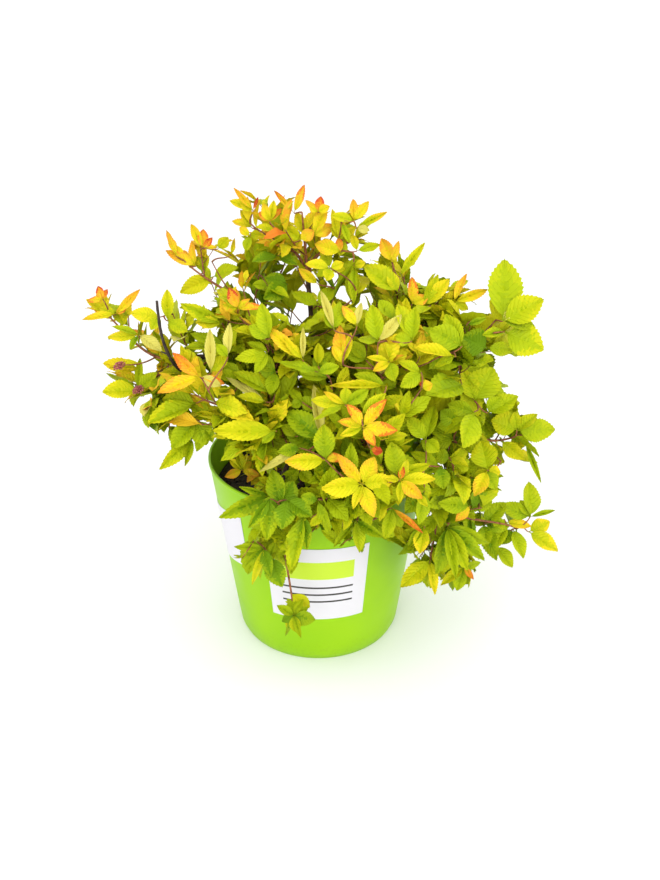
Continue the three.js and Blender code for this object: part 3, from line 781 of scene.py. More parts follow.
class Graph:
    """A hand on a node tree: it adds nodes, fills their sockets and links them."""

    def __init__(self, tree: NodeTree) -> None:
        """Takes hold of a tree."""
        self.tree = tree

    def fill(self, node: Node, sockets: dict) -> None:
        """Fills a node's sockets: it links those whose value is a socket, and sets the others.

        Args:
            node: The node.
            sockets: Plain values, or sockets of other nodes, by input name or number.
        """
        for name, value in sockets.items():
            if isinstance(value, NodeSocket):
                self.tree.links.new(value, node.inputs[name])
            else:
                node.inputs[name].default_value = value

    def add(self, kind: str, sockets: dict | None = None, **settings: object) -> Node:
        """Adds a node.

        Args:
            kind: Its type name, without the ShaderNode in front unless it is a Node of a group.
            sockets: What fills its sockets, by input name or number.
            settings: The node's own properties.

        Returns:
            The node.
        """
        node = self.tree.nodes.new(kind if kind.startswith("Node") else "ShaderNode" + kind)
        for name, value in settings.items():
            setattr(node, name, value)
        self.fill(node, sockets or {})
        return node

    def axes(self, space: str) -> dict[str, NodeSocket]:
        """The X, Y and Z of the surface's coordinates, Object or UV."""
        return self.add("SeparateXYZ", {0: self.add("TexCoord").outputs[space]}).outputs

    def math(self, operation: str, *values: object, **settings: object) -> NodeSocket:
        """The result of one step of arithmetic on sockets and numbers."""
        return self.add("Math", dict(enumerate(values)), operation=operation, **settings).outputs[0]

    def mix(self, factor: object, first: object, second: object) -> NodeSocket:
        """A colour part of the way from a first one to a second one."""
        sockets = {"Factor": factor, "A": first, "B": second}
        return self.add("Mix", sockets, data_type="RGBA").outputs["Result"]

    def effect(self, effect: Effect, **values: object) -> NodeSocket:
        """What a shared group puts out; the group is built where it is first asked for.

        Args:
            effect: Which group.
            values: What fills its inputs.

        Returns:
            The group's one output.
        """
        name, inputs, output, kind = effect.value
        tree = bpy.data.node_groups.get(name)
        if tree is None:
            tree = bpy.data.node_groups.new(name, "ShaderNodeTree")
            sockets = tree.interface
            for label, value in inputs.items():
                socket = sockets.new_socket(label, in_out="INPUT", socket_type="NodeSocketFloat")
                socket.default_value = value
            sockets.new_socket(output, in_out="OUTPUT", socket_type=kind)
            inner = Graph(tree)
            given = inner.add("NodeGroupInput").outputs
            inner.add("NodeGroupOutput", {0: EFFECT_RULES[effect](inner, given)})
        return self.add("Group", values, node_tree=tree).outputs[0]


def mottle(graph: Graph, given: dict[str, NodeSocket]) -> NodeSocket:
    """A soft, cloudy value between Low and High, laid in object space.

    Args:
        graph: The group's own tree.
        given: The group's inputs.

    Returns:
        The value.
    """
    where = graph.add("TexCoord").outputs["Object"]
    noisy = {"Vector": where, "Scale": given["Scale"], "Detail": given["Detail"]}
    cloud = graph.add("TexNoise", noisy).outputs[0]
    limits = {"From Min": 0.34, "From Max": 0.66, "To Min": given["Low"], "To Max": given["High"]}
    return graph.add("MapRange", {"Value": cloud, **limits}).outputs["Result"]


def relief(graph: Graph, given: dict[str, NodeSocket]) -> NodeSocket:
    """A normal with fine unevenness, laid in object space.

    Args:
        graph: The group's own tree.
        given: The group's inputs.

    Returns:
        The normal.
    """
    where = graph.add("TexCoord").outputs["Object"]
    grain = graph.add("TexNoise", {"Vector": where, "Scale": given["Scale"], "Detail": 4.0})
    depth = {"Strength": given["Strength"], "Distance": given["Distance"]}
    return graph.add("Bump", {"Height": grain.outputs[0], **depth}).outputs["Normal"]


def veins(graph: Graph, given: dict[str, NodeSocket]) -> NodeSocket:
    """A leaf's sunk midrib and side veins, laid on its UV map: u across, v along.

    Args:
        graph: The group's own tree.
        given: The group's inputs.

    Returns:
        The normal.
    """
    parts = graph.axes("UV")
    aside = graph.math("ABSOLUTE", graph.math("SUBTRACT", parts["X"], 0.5))
    slanted = graph.math("SUBTRACT", parts["Y"], graph.math("MULTIPLY", aside, given["Slant"]))
    step = graph.math("FRACT", graph.math("MULTIPLY", slanted, given["Count"]))
    side_vein = graph.math("ABSOLUTE", graph.math("SUBTRACT", step, 0.5))
    midrib = graph.math("MINIMUM", graph.math("MULTIPLY", aside, 9.0), 0.5)
    height = graph.math("MINIMUM", graph.math("POWER", side_vein, 0.5), midrib)
    sunk = {"Height": height, "Strength": given["Strength"], "Distance": 0.0008}
    return graph.add("Bump", sunk).outputs["Normal"]


EFFECT_RULES = {Effect.MOTTLE: mottle, Effect.RELIEF: relief, Effect.VEINS: veins}


class Skin(Graph):
    """The tree of a new surface material."""

    def __init__(self, name: str) -> None:
        """Makes the material.

        Args:
            name: Its name.
        """
        self.material = bpy.data.materials.new(name)
        self.material.use_nodes = True
        super().__init__(self.material.node_tree)

    def shaded(self, **sockets: object) -> Material:
        """Fills the shader's sockets.

        Args:
            sockets: What fills them, by input name with _ for a space.

        Returns:
            The material.
        """
        named = {name.replace("_", " "): value for name, value in sockets.items()}
        self.fill(self.tree.nodes["Principled BSDF"], named)
        return self.material


def opaque(colour: Colour) -> tuple[float, float, float, float]:
    """A colour with its alpha."""
    return (*colour, 1.0)


# ---- finishes


@dataclass(frozen=True)
class LeafFinish:
    """A leaf's skin of one plain tint, with veins and a soft sheen."""

    name: str
    colour: Colour
    slot: str
    roughness: Pair = (0.5, 0.72)

    def material(self) -> Material:
        """The material for leaves of this tint.

        Returns:
            The material.
        """
        skin = Skin(f"leaf {self.name}")
        low, high = self.roughness
        return skin.shaded(
            Base_Color=opaque(self.colour),
            Roughness=skin.effect(Effect.MOTTLE, Scale=180.0, Low=low, High=high),
            Specular_IOR_Level=0.12,
            Normal=skin.effect(Effect.VEINS),
        )


class Tint(Enum):
    """The tints of leaf, each with the finish that its piece wears."""

    DEEP = LeafFinish("deep", srgb(108, 142, 8), "foliage_green")
    GREEN = LeafFinish("green", srgb(136, 160, 8), "foliage_green")
    MOSS = LeafFinish("moss", srgb(152, 171, 8), "foliage_green")
    LIME = LeafFinish("lime", srgb(162, 178, 8), "foliage_lime")
    FRESH = LeafFinish("fresh", srgb(174, 184, 10), "foliage_lime")
    BRIGHT = LeafFinish("bright", srgb(189, 190, 12), "foliage_lime")
    LEMON = LeafFinish("lemon", srgb(203, 197, 18), "foliage_gold")
    YELLOW = LeafFinish("yellow", srgb(219, 199, 26), "foliage_gold")
    GOLD = LeafFinish("gold", srgb(226, 185, 36), "foliage_gold")
    AMBER = LeafFinish("amber", srgb(234, 164, 42), "foliage_amber")
    ORANGE = LeafFinish("orange", srgb(226, 126, 38), "foliage_amber")
    RED = LeafFinish("red", srgb(198, 78, 38), "foliage_amber")
    BUFF = LeafFinish("buff", srgb(208, 200, 92), "foliage_gold")

    def ripened(self, steps: int) -> "Tint":
        """The tint some steps further on the way from green to red, where it is on it."""
        way = RIPENING if self in RIPENING else (self,)
        return way[min(max(way.index(self) + steps, 0), len(way) - 1)]


RIPENING = tuple(tint for tint in Tint if tint is not Tint.BUFF)
Weights = tuple[tuple[Tint, float], ...]


def weights(text: str) -> Weights:
    """Reads a list of tints that has each one's weight after it."""
    words = text.upper().split()
    return tuple((Tint[tint], float(weight)) for tint, weight in zip(words[::2], words[1::2]))


GROWN = {
    Mood.AMBER: weights("yellow 4 lemon 4 bright 3 fresh 2 gold 2 buff 1"),
    Mood.GOLD: weights("lemon 3 bright 4 fresh 3 lime 2 yellow 2 buff 2"),
    Mood.LIME: weights("bright 2 fresh 4 lime 5 moss 2 green 1 buff 0.2"),
    Mood.GREEN: weights("fresh 1 lime 3 moss 5 green 5 deep 2"),
}
FRESH = {
    Mood.AMBER: weights("yellow 5 gold 3 amber 1 orange 0.2 lemon 3"),
    Mood.GOLD: weights("yellow 4 lemon 4 bright 3 gold 1.5"),
    Mood.LIME: weights("bright 5 fresh 4 lemon 2 lime 1"),
    Mood.GREEN: weights("fresh 3 lime 4 moss 3 bright 1"),
}
# Leaves deep in the crown: greener than the warm moods, and lighter than their shade leaves them.
# This is painted light, for the light that real leaves let through.
INNER_PAINTED_LIGHT = weights("bright 2 fresh 5 lime 5 moss 3 green 1")

Blade = tuple[float, float, float, Tint]


@dataclass(frozen=True)
class Posy:
    """A shoot's tip whose leaves are laid one by one, as the front view draws them.

    Each blade is the spot of its tip, its width on the sheet and its tint. The blush is how many
    steps riper the edges are than the rest of the blade.
    """

    depth: float
    foot: Spot
    blades: tuple[Blade, ...]
    blush: int = 1


PLANTING = """
# the right-hand side, from the top down
-34 1 503 321, 3 -67 33 lime, 42 -22 28 fresh, 11 -12 8 buff, 33 6 16 moss
-34 2 505 332, 41 18 32 lime, -24 4 10 moss
-34 1 487 348, 31 2 14 lime, -26 -12 28 deep
-40 1 467 325, 20 -7 7 green
-48 1 475 401, 19 -37 31 lime, -13 -33 20 fresh
-50 1 488 413, 31 -19 20 lime, 13 -17 18 moss
-34 1 517 430, 43 1 23 lime, 21 -18 13 fresh, -27 -10 26 fresh, -3 -19 10 fresh
-36 1 501 441, 24 19 14 bright
-36 1 525 442, 17 43 6 moss
-70 1 474 412, -13 38 25 lime, -34 22 18 lime, -28 -8 15 moss
-72 1 488 470, -7 -30 26 fresh, 14 3 12 lemon
-74 1 487 471, -13 26 15 yellow, 9 19 15 moss
-62 1 478 499, 14 7 19 moss, -12 13 15 green
-60 1 484 524, 22 -24 18 moss, 26 2 15 green, 12 38 17 green, 2 24 15 moss
-57 1 504 519, -10 11 13 lime
-78 1 450 458, 19 10 11 bright, -16 -3 15 moss
-55 1 530 517, 1 -38 18 lime, -11 -17 12 lime, -30 -14 18 moss, 26 -7 5 moss
-55 1 506 522, 27 4 10 yellow, -12 29 13 lime
-55 2 529 532, 23 -13 13 bright, 31 19 17 bright
-55 1 513 529, 10 31 15 lime, -13 16 13 green
-57 1 497 546, 16 22 13 lime
-90 1 447 526, -9 52 20 green, 38 36 17 green, 45 20 15 moss, 21 46 17 lime, 9 56 13 moss
-92 1 464 567, 19 -4 9 moss, -24 19 10 bright, -8 25 13 moss, 10 13 6 amber
-97 1 430 560, -31 28 19 bright, 6 36 10 lemon
-104 2 424 526, -4 29 15 bright, -26 -4 12 lime, -17 23 9 green
# the front
-140 1 400 480, 38 -2 13 lemon, 24 19 12 gold, 10 -22 11 bright, 0 24 8 bright, 4 -14 7 orange,
-17 -3 9 lemon
-132 1 415 494, 13 13 8 bright
-128 1 396 476, -4 -36 21 lime, 35 -12 11 fresh
-146 1 362 484, 15 -29 19 yellow, 34 -4 17 lemon, -43 4 20 lemon, 12 36 17 yellow, -26 -31 13 gold,
-10 26 8 lemon
-138 1 350 482, 1 -41 14 moss, -20 18 12 bright
-140 2 363 427, -16 -25 11 gold, 25 -28 14 gold, 36 4 15 gold, -26 -6 12 yellow, 13 20 10 gold,
-24 9 9 bright
-134 1 362 414, 15 -12 10 lemon, 25 -22 13 fresh
-134 1 371 449, 12 3 9 red
-128 1 345 405, -37 -7 15 bright, -22 -14 7 yellow, 2 -19 13 fresh, 24 -16 12 moss, -36 15 10 lime
-132 2 326 460, -3 -38 22 moss, -43 1 17 lemon, 17 -5 9 gold
-105 1 386 386, -59 0 10 lemon, -34 -14 12 lime
-100 1 422 388, 11 -4 12 yellow, 1 -8 6 red
# over the rim at the left
-96 2 270 496, -53 23 17 green, -32 -10 7 green
-108 1 300 448, -44 25 9 buff, -23 4 13 green
-112 1 281 506, -10 -39 20 green, 13 -26 20 deep, -19 -6 14 deep
-118 2 270 499, -3 44 18 green, -23 30 12 deep
-118 1 287 500, -5 30 21 deep, 26 17 18 deep
-122 2 304 514, -16 59 17 moss, 3 37 12 deep, -3 8 9 green
-120 1 264 548, -31 -1 9 moss, -20 18 10 green, -13 39 8 bright, 7 29 13 deep
-122 1 270 556, 12 33 20 deep, 6 -16 8 moss
-124 0 294 615, -3 -18 12 moss, 9 -17 8 lime, -18 -10 9 moss, -13 7 9 deep, 22 5 15 green,
15 -8 8 moss, 3 18 11 fresh, -10 23 5 green, 7 24 6 moss
-36 1 242 470, -18 7 9 gold, 19 6 8 gold, -5 -22 9 bright, 5 -18 6 lemon, -13 -11 8 lemon,
11 -9 7 yellow
# the middle
-96 1 303 360, -40 -36 13 yellow, 0 -34 6 buff, -20 -24 10 lemon
-98 1 342 364, -2 -40 12 gold, 10 -34 9 lemon, -11 -18 9 yellow
-90 2 357 326, -16 -23 10 yellow, 4 -26 8 buff
-92 0 334 330, -14 -40 8 buff, 8 -32 13 lime, -8 -18 12 moss
-90 1 378 342, -7 -40 18 lime, 24 -28 12 buff, -22 -6 14 lime
-92 1 412 341, -14 -41 17 fresh, 4 -35 16 lime, -18 -5 14 lime
-80 1 462 346, -34 -17 26 moss, -18 -34 18 lime
-88 1 455 357, -43 -8 11 lemon, -23 9 12 lime
-100 1 390 362, -24 -6 7 lemon, -18 10 9 yellow, 4 20 15 lime
-96 1 421 372, -24 -11 12 fresh, -21 16 15 lime
-86 1 270 338, -8 -36 17 lime, -23 -14 15 moss
-86 0 228 357, 1 -37 10 buff, -12 -13 10 lime
-100 1 318 372, -43 -14 15 moss, 22 -6 12 moss
-104 1 322 440, -38 -32 24 green, -9 -56 11 buff
-96 1 426 440, -20 -26 17 lime, 8 -38 16 lime, 14 12 14 lime
-98 1 440 466, -32 -17 14 lime, 4 24 16 green
-62 1 448 452, -8 -44 20 moss, -18 -12 15 green
-66 1 454 440, -28 -18 18 moss, -30 6 16 lime
-80 0 320 446, -38 -18 22 green, -30 1 17 moss, -16 -24 15 lime
-84 1 300 470, -24 16 14 moss, 12 14 13 lime
-110 1 424 492, -20 22 17 green, -4 34 15 moss
-100 1 470 506, -34 -4 17 moss, -14 16 9 gold
-118 1 356 520, -23 28 9 moss, 5 34 13 lime, 28 18 10 green
-120 1 318 500, 12 38 12 moss, -18 -4 12 green
-112 1 392 508, -8 32 14 lime, 12 20 12 moss, 32 26 6 amber
-40 1 330 268, -26 -6 12 lemon, -4 14 12 bright, 15 -6 9 lemon
-84 0 330 378, -18 -22 15 green, -32 -4 15 moss, -4 -28 13 lime
-70 0 458 424, -18 -14 17 green, -22 2 14 moss
-110 0 352 462, -8 -24 15 green, -18 -12 13 moss
-84 0 318 412, -18 -16 15 moss, -18 0 14 green, -14 -28 13 lime
-72 0 276 372, -24 -20 16 moss, -18 -4 15 green, -6 24 14 moss
-84 0 300 482, -20 -20 15 green, -22 -2 14 moss
-76 0 440 458, -20 -18 15 moss, -16 -2 13 lime
-80 0 366 360, -16 -20 14 lime, -22 -8 13 moss
-70 0 392 320, -14 -20 14 lime, -2 -18 14 moss
-64 0 240 378, -18 -16 14 moss, -26 -4 12 lime
-78 0 268 352, -34 8 12 fresh, -22 -10 10 lime, -14 22 11 lime
-82 0 318 366, 0 -24 10 bright, 14 -16 9 lime
-78 0 374 380, -20 -18 11 lime, -6 -24 9 fresh
-84 0 302 402, -14 -16 11 lime, -12 4 10 moss
-88 0 298 436, -18 -12 11 lime, -10 -16 9 moss
-88 0 300 476, -16 -12 11 lime
-78 0 396 388, -12 -16 10 lime, -18 -4 9 moss
# the left-hand side, from the bottom up
-40 1 224 346, -36 -16 16 moss, -40 1 13 lime, -20 8 12 fresh
-64 1 196 420, -25 30 19 moss, 12 26 21 moss
-64 1 192 438, -33 33 14 fresh, -8 30 8 lime
-64 1 206 426, -10 27 12 moss, 7 17 9 green
-66 2 196 403, -36 -5 22 lime, -50 23 18 lime, -41 25 8 bright
-102 1 276 431, -67 -1 21 bright, -14 13 10 moss
-84 0 266 402, -44 -29 10 buff, -30 -6 12 bright
-84 1 200 377, -45 15 14 gold, -27 -25 12 amber, 26 6 8 amber, 22 9 11 buff
-80 0 211 373, -1 -45 11 buff, 17 -21 12 bright
-80 1 275 394, -44 -23 18 lime, -13 -28 16 fresh
-40 1 138 390, -37 3 18 bright, -36 -21 8 moss, 2 -35 8 lime, 20 -18 14 lime
-30 1 139 335, -35 2 10 lemon, -28 -9 8 lime, 24 16 13 buff, -9 16 6 green
-26 1 160 317, -32 -5 15 lemon, -10 13 12 fresh
-30 1 168 321, -1 -32 12 bright, 20 9 14 fresh
-16 1 116 314, -35 6 9 yellow, 25 -26 8 gold, 11 -5 9 amber, -19 -8 9 bright
-14 2 103 299, -6 -14 8 amber, 5 -10 7 orange, -18 1 7 gold
-36 2 222 323, -43 -20 13 lime, -28 -1 12 bright
-52 2 238 309, -9 -22 11 amber, -23 -18 8 fresh, 27 -3 9 gold, 13 -10 8 yellow, -18 -6 12 lemon,
-2 -21 8 yellow
24 0 213 277, -35 16 17 lemon, 27 -9 17 fresh
24 1 196 266, -33 -18 12 gold, -6 -28 8 gold, -8 -4 8 lemon
24 1 176 256, -9 -30 9 gold
26 1 205 272, -1 -20 12 bright, -10 -17 8 lime
26 1 203 248, -12 -24 9 yellow, 0 -21 10 amber, 10 -11 6 orange, 15 0 6 yellow
24 1 218 249, 11 -13 11 bright
# the top
2 1 338 238, -6 -30 9 lemon, 7 -19 8 yellow
2 1 314 236, 12 -32 12 yellow, 22 -12 12 gold, 6 -18 9 lemon
6 1 305 236, -9 -24 11 lemon, 13 -10 10 yellow, -19 4 9 bright
4 1 344 240, -14 -14 10 bright, 12 -14 8 lemon, -4 16 11 fresh
2 1 330 268, -8 -22 12 fresh, 16 2 11 bright, -14 8 10 lime
-2 1 268 286, -16 -2 10 moss, 10 14 11 moss, 22 14 11 lime
14 1 250 236, -12 -10 7 yellow, 12 -2 9 bright, -4 16 9 lime
6 1 231 255, 5 -19 5 yellow
30 1 253 210, -20 -23 6 gold, -25 -11 9 lemon, -13 -7 9 lemon, 6 -15 3 red
30 1 252 228, -21 -9 10 yellow, -12 -18 8 lemon
10 1 270 222, -11 -13 10 amber, 12 -14 7 amber, -8 -20 9 yellow, 4 -22 8 lemon
10 2 294 213, 12 -32 8 gold, -22 -25 5 gold
4 1 318 212, 3 -16 9 orange, -14 -14 6 gold, 12 -6 9 yellow, -9 -6 8 yellow
0 1 354 221, -1 -22 8 gold, 16 -22 9 yellow, -24 -7 10 bright
0 3 357 228, 31 -16 8 bright, 13 2 8 buff
0 1 342 223, 8 21 7 lime
-4 1 341 252, -28 -9 15 yellow, -3 -14 8 amber
-4 1 357 251, 25 -8 8 fresh, -5 -18 8 lemon
4 1 392 262, -11 -24 13 gold, 8 -23 8 gold
-6 1 318 284, -20 -16 9 yellow
-6 1 354 266, -1 39 9 lime, 12 -4 8 lemon
-10 1 318 306, -28 -18 17 lime, 18 -22 16 lime
2 1 288 284, -26 16 19 deep, -26 -7 15 deep
2 1 278 256, -27 6 15 deep, 21 8 14 deep
-2 1 300 240, -17 -14 13 bright, 15 -10 12 gold
0 1 399 277, 28 -38 9 bright
-8 1 398 292, -36 -26 22 fresh, -10 -24 12 bright
-14 2 412 304, 0 -28 11 gold, 17 -8 12 yellow
-14 1 424 306, 26 -27 16 lemon, 16 -34 12 fresh
-16 1 454 302, 13 -32 8 gold, 34 -13 9 yellow, 16 7 9 bright
"""


def posies() -> list[Posy]:
    """Reads the planting list: depth, blush and foot, then each blade's tip, width and tint.

    A tip is counted from the foot, and a long row runs on after its last comma.

    Returns:
        The posies.
    """
    rows = PLANTING.strip().replace(",\n", ", ").split("\n")
    found = []
    for row in rows:
        if row.startswith("#"):
            continue
        head, *blades = (part.split() for part in row.split(","))
        depth, blush, u, v = (int(number) for number in head)
        laid = tuple(
            (u + int(x), v + int(y), int(wide), Tint[tint.upper()]) for x, y, wide, tint in blades
        )
        found.append(Posy(depth, (u, v), laid, blush))
    return found


HEADS: tuple[tuple[float, Spot], ...] = ((-44, (120, 367)), (-44, (139, 391)))


@dataclass(frozen=True)
class BarkFinish:
    """Young bark: two browns that run into each other over a rough skin."""

    name: str
    dark: Colour
    pale: Colour
    grain: float = 260.0
    strength: float = 0.6

    def material(self) -> Material:
        """The material for limbs of this bark.

        Returns:
            The material.
        """
        skin = Skin(self.name)
        patch = skin.effect(Effect.MOTTLE, Scale=self.grain, Detail=5.0)
        return skin.shaded(
            Base_Color=skin.mix(patch, opaque(self.dark), opaque(self.pale)),
            Roughness=skin.effect(Effect.MOTTLE, Scale=self.grain * 0.6, Low=0.6, High=0.9),
            Normal=skin.effect(Effect.RELIEF, Scale=self.grain * 4, Strength=self.strength),
        )


@dataclass(frozen=True)
class PlasticFinish:
    """Moulded, slightly hazy plastic with dust towards its foot."""

    colour: Colour = srgb(139, 190, 4)
    haze: Colour = srgb(150, 198, 9)
    dust: Colour = srgb(92, 82, 44)
    dusty_height: float = 26 * MM
    dustiness: float = 0.1

    def material(self) -> Material:
        """The pot's material.

        Returns:
            The material.
        """
        skin = Skin("lime plastic")
        cloud = skin.effect(Effect.MOTTLE, Scale=14.0, Detail=2.0)
        body = skin.mix(cloud, opaque(self.colour), opaque(self.haze))
        specks = skin.effect(Effect.MOTTLE, Scale=420.0, Detail=2.0, Low=-2.2, High=1.6)
        height = {"Value": skin.axes("Object")["Z"], "From Max": self.dusty_height}
        low = skin.add("MapRange", {**height, "To Min": self.dustiness, "To Max": 0.0})
        shown = skin.math("MULTIPLY", specks, low.outputs["Result"], use_clamp=True)
        return skin.shaded(
            Base_Color=skin.mix(shown, body, opaque(self.dust)),
            Roughness=skin.effect(Effect.MOTTLE, Scale=30.0, Low=0.36, High=0.5),
            Specular_IOR_Level=0.2,
            Normal=skin.effect(Effect.RELIEF, Scale=900.0, Strength=0.08, Distance=0.0002),
        )


@dataclass(frozen=True)
class CompostFinish:
    """Moist potting compost, nearly black."""

    dark: Colour = srgb(24, 18, 15)
    pale: Colour = srgb(66, 50, 38)

    def material(self) -> Material:
        """The compost's material.

        Returns:
            The material.
        """
        skin = Skin("compost")
        patch = skin.effect(Effect.MOTTLE, Scale=320.0, Detail=6.0)
        return skin.shaded(
            Base_Color=skin.mix(patch, opaque(self.dark), opaque(self.pale)),
            Roughness=0.92,
            Normal=skin.effect(Effect.RELIEF, Scale=700.0, Strength=0.9, Distance=0.001),
        )


class TagDesign(Enum):
    """What is on a tag: nothing, or a plain ruled layout."""

    BLANK = "blank"
    RULED = "ruled"


@dataclass(frozen=True)
class TagFinish:
    """White film. The ruled tag has a lime band and plain dark rules that say nothing."""

    design: TagDesign
    film: Colour = srgb(216, 214, 220)
    band: Colour = srgb(188, 218, 34)
    ink: Colour = srgb(52, 50, 46)
    margin: float = 0.14
    band_rows: Pair = (0.58, 0.82)
    rules: tuple[float, ...] = (0.46, 0.36, 0.26)
    rule_half_width: float = 0.012

    @staticmethod
    def _within(skin: Skin, value: object, low: float, high: float) -> NodeSocket:
        """1 where a value lies between two limits, and 0 elsewhere."""
        above = skin.math("GREATER_THAN", value, low)
        return skin.math("MULTIPLY", above, skin.math("LESS_THAN", value, high))

    def _printed(self, skin: Skin) -> NodeSocket:
        """The colour of the ruled tag.

        Args:
            skin: The tag's material.

        Returns:
            The colour.
        """
        parts = skin.axes("UV")
        inset = self._within(skin, parts["X"], self.margin, 1 - self.margin)
        band = skin.math("MULTIPLY", inset, self._within(skin, parts["Y"], *self.band_rows))
        ruled: object = 0.0
        for row in self.rules:
            low, high = row - self.rule_half_width, row + self.rule_half_width
            ruled = skin.math("MAXIMUM", ruled, self._within(skin, parts["Y"], low, high))
        banded = skin.mix(band, opaque(self.film), opaque(self.band))
        return skin.mix(skin.math("MULTIPLY", inset, ruled), banded, opaque(self.ink))

    def material(self) -> Material:
        """The tag's material.

        Returns:
            The material.
        """
        skin = Skin(f"{self.design.value} tag film")
        plain = self.design is TagDesign.BLANK
        return skin.shaded(
            Base_Color=opaque(self.film) if plain else self._printed(skin),
            Roughness=skin.effect(Effect.MOTTLE, Scale=45.0, Low=0.42, High=0.56),
            Normal=skin.effect(Effect.RELIEF, Scale=60.0, Strength=0.12, Distance=0.0006),
        )


# ---- the pot and what fills it


@dataclass
class NurseryPot:
    """The tapered pot, as one lathe-turned shell with drainage holes."""

    height: float = 166.7 * MM
    rim_radius: float = 92.5 * MM
    foot_radius: float = 71.8 * MM
    stand_radius: float = 69.5 * MM
    stand_height: float = 4.5 * MM
    wall: float = 1.8 * MM
    floor: float = 3.0 * MM
    lip: float = 0.9 * MM
    lip_height: float = 3.2 * MM
    holes: int = 6
    hole_radius: float = 5.0 * MM
    hole_ring: float = 56.0 * MM
    hole_sides: int = 24
    peg_length: float = 20 * MM
    steps: int = 144
    sharp_angle: float = 38.0

    def wall_radius(self, height: float) -> float:
        """The wall's outer radius at a height."""
        share = (height - self.stand_height) / (self.height - self.stand_height)
        return lerp(self.foot_radius, self.rim_radius, share)

    def _profile(self) -> list[Pair]:
        """The section from the axis under the floor, up the wall and back over the floor.

        Returns:
            The radius and height of each corner.
        """
        top, wall = self.height, self.wall
        outside = [
            (0.0, 0.9 * MM),
            (self.hole_ring + 9 * MM, 0.9 * MM),
            (self.hole_ring + 10 * MM, 0.0),
            (self.stand_radius - 0.6 * MM, 0.0),
            (self.stand_radius, 0.6 * MM),
            (self.stand_radius + 0.7 * MM, self.stand_height * 0.6),
            (self.foot_radius - 0.9 * MM, self.stand_height * 0.84),
            (self.foot_radius, self.stand_height + 1.2 * MM),
        ]
        under_lip = top - self.lip_height
        outside += [(self.wall_radius(h), h) for h in np.linspace(16 * MM, under_lip, 9).tolist()]
        edge = self.rim_radius
        lip = [
            (edge + self.lip * 0.2, under_lip + 0.4 * MM),
            (edge + self.lip * 0.6, top - 2.2 * MM),
            (edge + self.lip * 0.6, top - 0.7 * MM),
            (edge + self.lip * 0.2, top - 0.15 * MM),
            (edge - wall * 0.5, top),
            (edge - wall * 0.9, top - 0.3 * MM),
            (edge - wall, top - 1.0 * MM),
        ]
        inner_foot = self.foot_radius - wall
        inside = [
            (lerp(edge - wall, inner_foot, 0.15), lerp(top, self.floor, 0.15)),
            (inner_foot, self.floor + 2 * MM),
            (inner_foot - 1.6 * MM, self.floor),
            (0.0, self.floor),
        ]
        return outside + lip + inside

    def _cutters(self) -> Object:
        """The pegs that the drainage holes are cut with.

        Returns:
            One object that holds them all.
        """
        bm = bmesh.new()
        for i in range(self.holes):
            turn = math.tau * (i + 0.5) / self.holes
            at = Matrix.Rotation(turn, 4, "Z") @ Matrix.Translation((self.hole_ring, 0, 0))
            bmesh.ops.create_cone(
                bm, cap_ends=True, segments=self.hole_sides, radius1=self.hole_radius,
                radius2=self.hole_radius, depth=self.peg_length, matrix=at,
            )
        return piece_from(bm, "pegs", smooth=False)

    def build(self) -> None:
        """Turns the shell, cuts its holes and dresses it."""
        pot = piece_from(spun(self._profile(), self.steps), "nursery_pot")
        pegs = self._cutters()
        cut = pot.modifiers.new("holes", "BOOLEAN")
        cut.object = pegs
        cut.operation = "DIFFERENCE"
        cut.solver = "EXACT"
        bpy.context.view_layer.update()
        shell = pot.evaluated_get(bpy.context.evaluated_depsgraph_get())
        solid = bpy.data.meshes.new_from_object(shell)
        pot.modifiers.clear()
        pot.data = solid
        pot.data.set_sharp_from_angle(angle=math.radians(self.sharp_angle))
        bpy.data.objects.remove(pegs)
        finished(pot, PlasticFinish().material(), "pot", "container")


@dataclass
class Tag:
    """A film tag that follows the pot's wall; it rises, if at all, towards its right end."""

    pot: NurseryPot
    name: str
    node: str
    middle: float
    design: TagDesign
    span: float = 57.5
    bottom: float = 49.0 * MM
    top: float = 124.5 * MM
    rise: float = 0.0
    standoff: float = 0.12 * MM
    thickness: float = 0.3 * MM
    columns: int = 36
    rows: int = 8
    sharp_angle: float = 40.0

    def build(self) -> None:
        """Bends a flat grid round the wall, gives it its thickness and dresses it."""
        bm = bmesh.new()
        layer = bm.loops.layers.uv.new("UVMap")
        bmesh.ops.create_grid(bm, x_segments=self.columns, y_segments=self.rows, size=0.5)
        for face in bm.faces:
            for loop in face.loops:
                loop[layer].uv = (loop.vert.co.x + 0.5, loop.vert.co.y + 0.5)
        for corner in bm.verts:
            turn = math.radians(self.middle + self.span * corner.co.x)
            height = lerp(self.bottom, self.top, corner.co.y + 0.5)
            height += self.rise * corner.co.x
            reach = self.pot.wall_radius(height) + self.standoff
            corner.co = (reach * math.cos(turn), reach * math.sin(turn), height)
        bmesh.ops.recalc_face_normals(bm, faces=bm.faces)
        outward = sum((f.normal.dot(f.calc_center_median().normalized()) for f in bm.faces), 0.0)
        if outward < 0:
            bmesh.ops.reverse_faces(bm, faces=bm.faces)
        bmesh.ops.solidify(bm, geom=bm.faces[:], thickness=-self.thickness)
        bmesh.ops.recalc_face_normals(bm, faces=bm.faces)
        tag = piece_from(bm, self.name)
        tag.data.set_sharp_from_angle(angle=math.radians(self.sharp_angle))
        finished(tag, TagFinish(self.design).material(), "label", self.node)


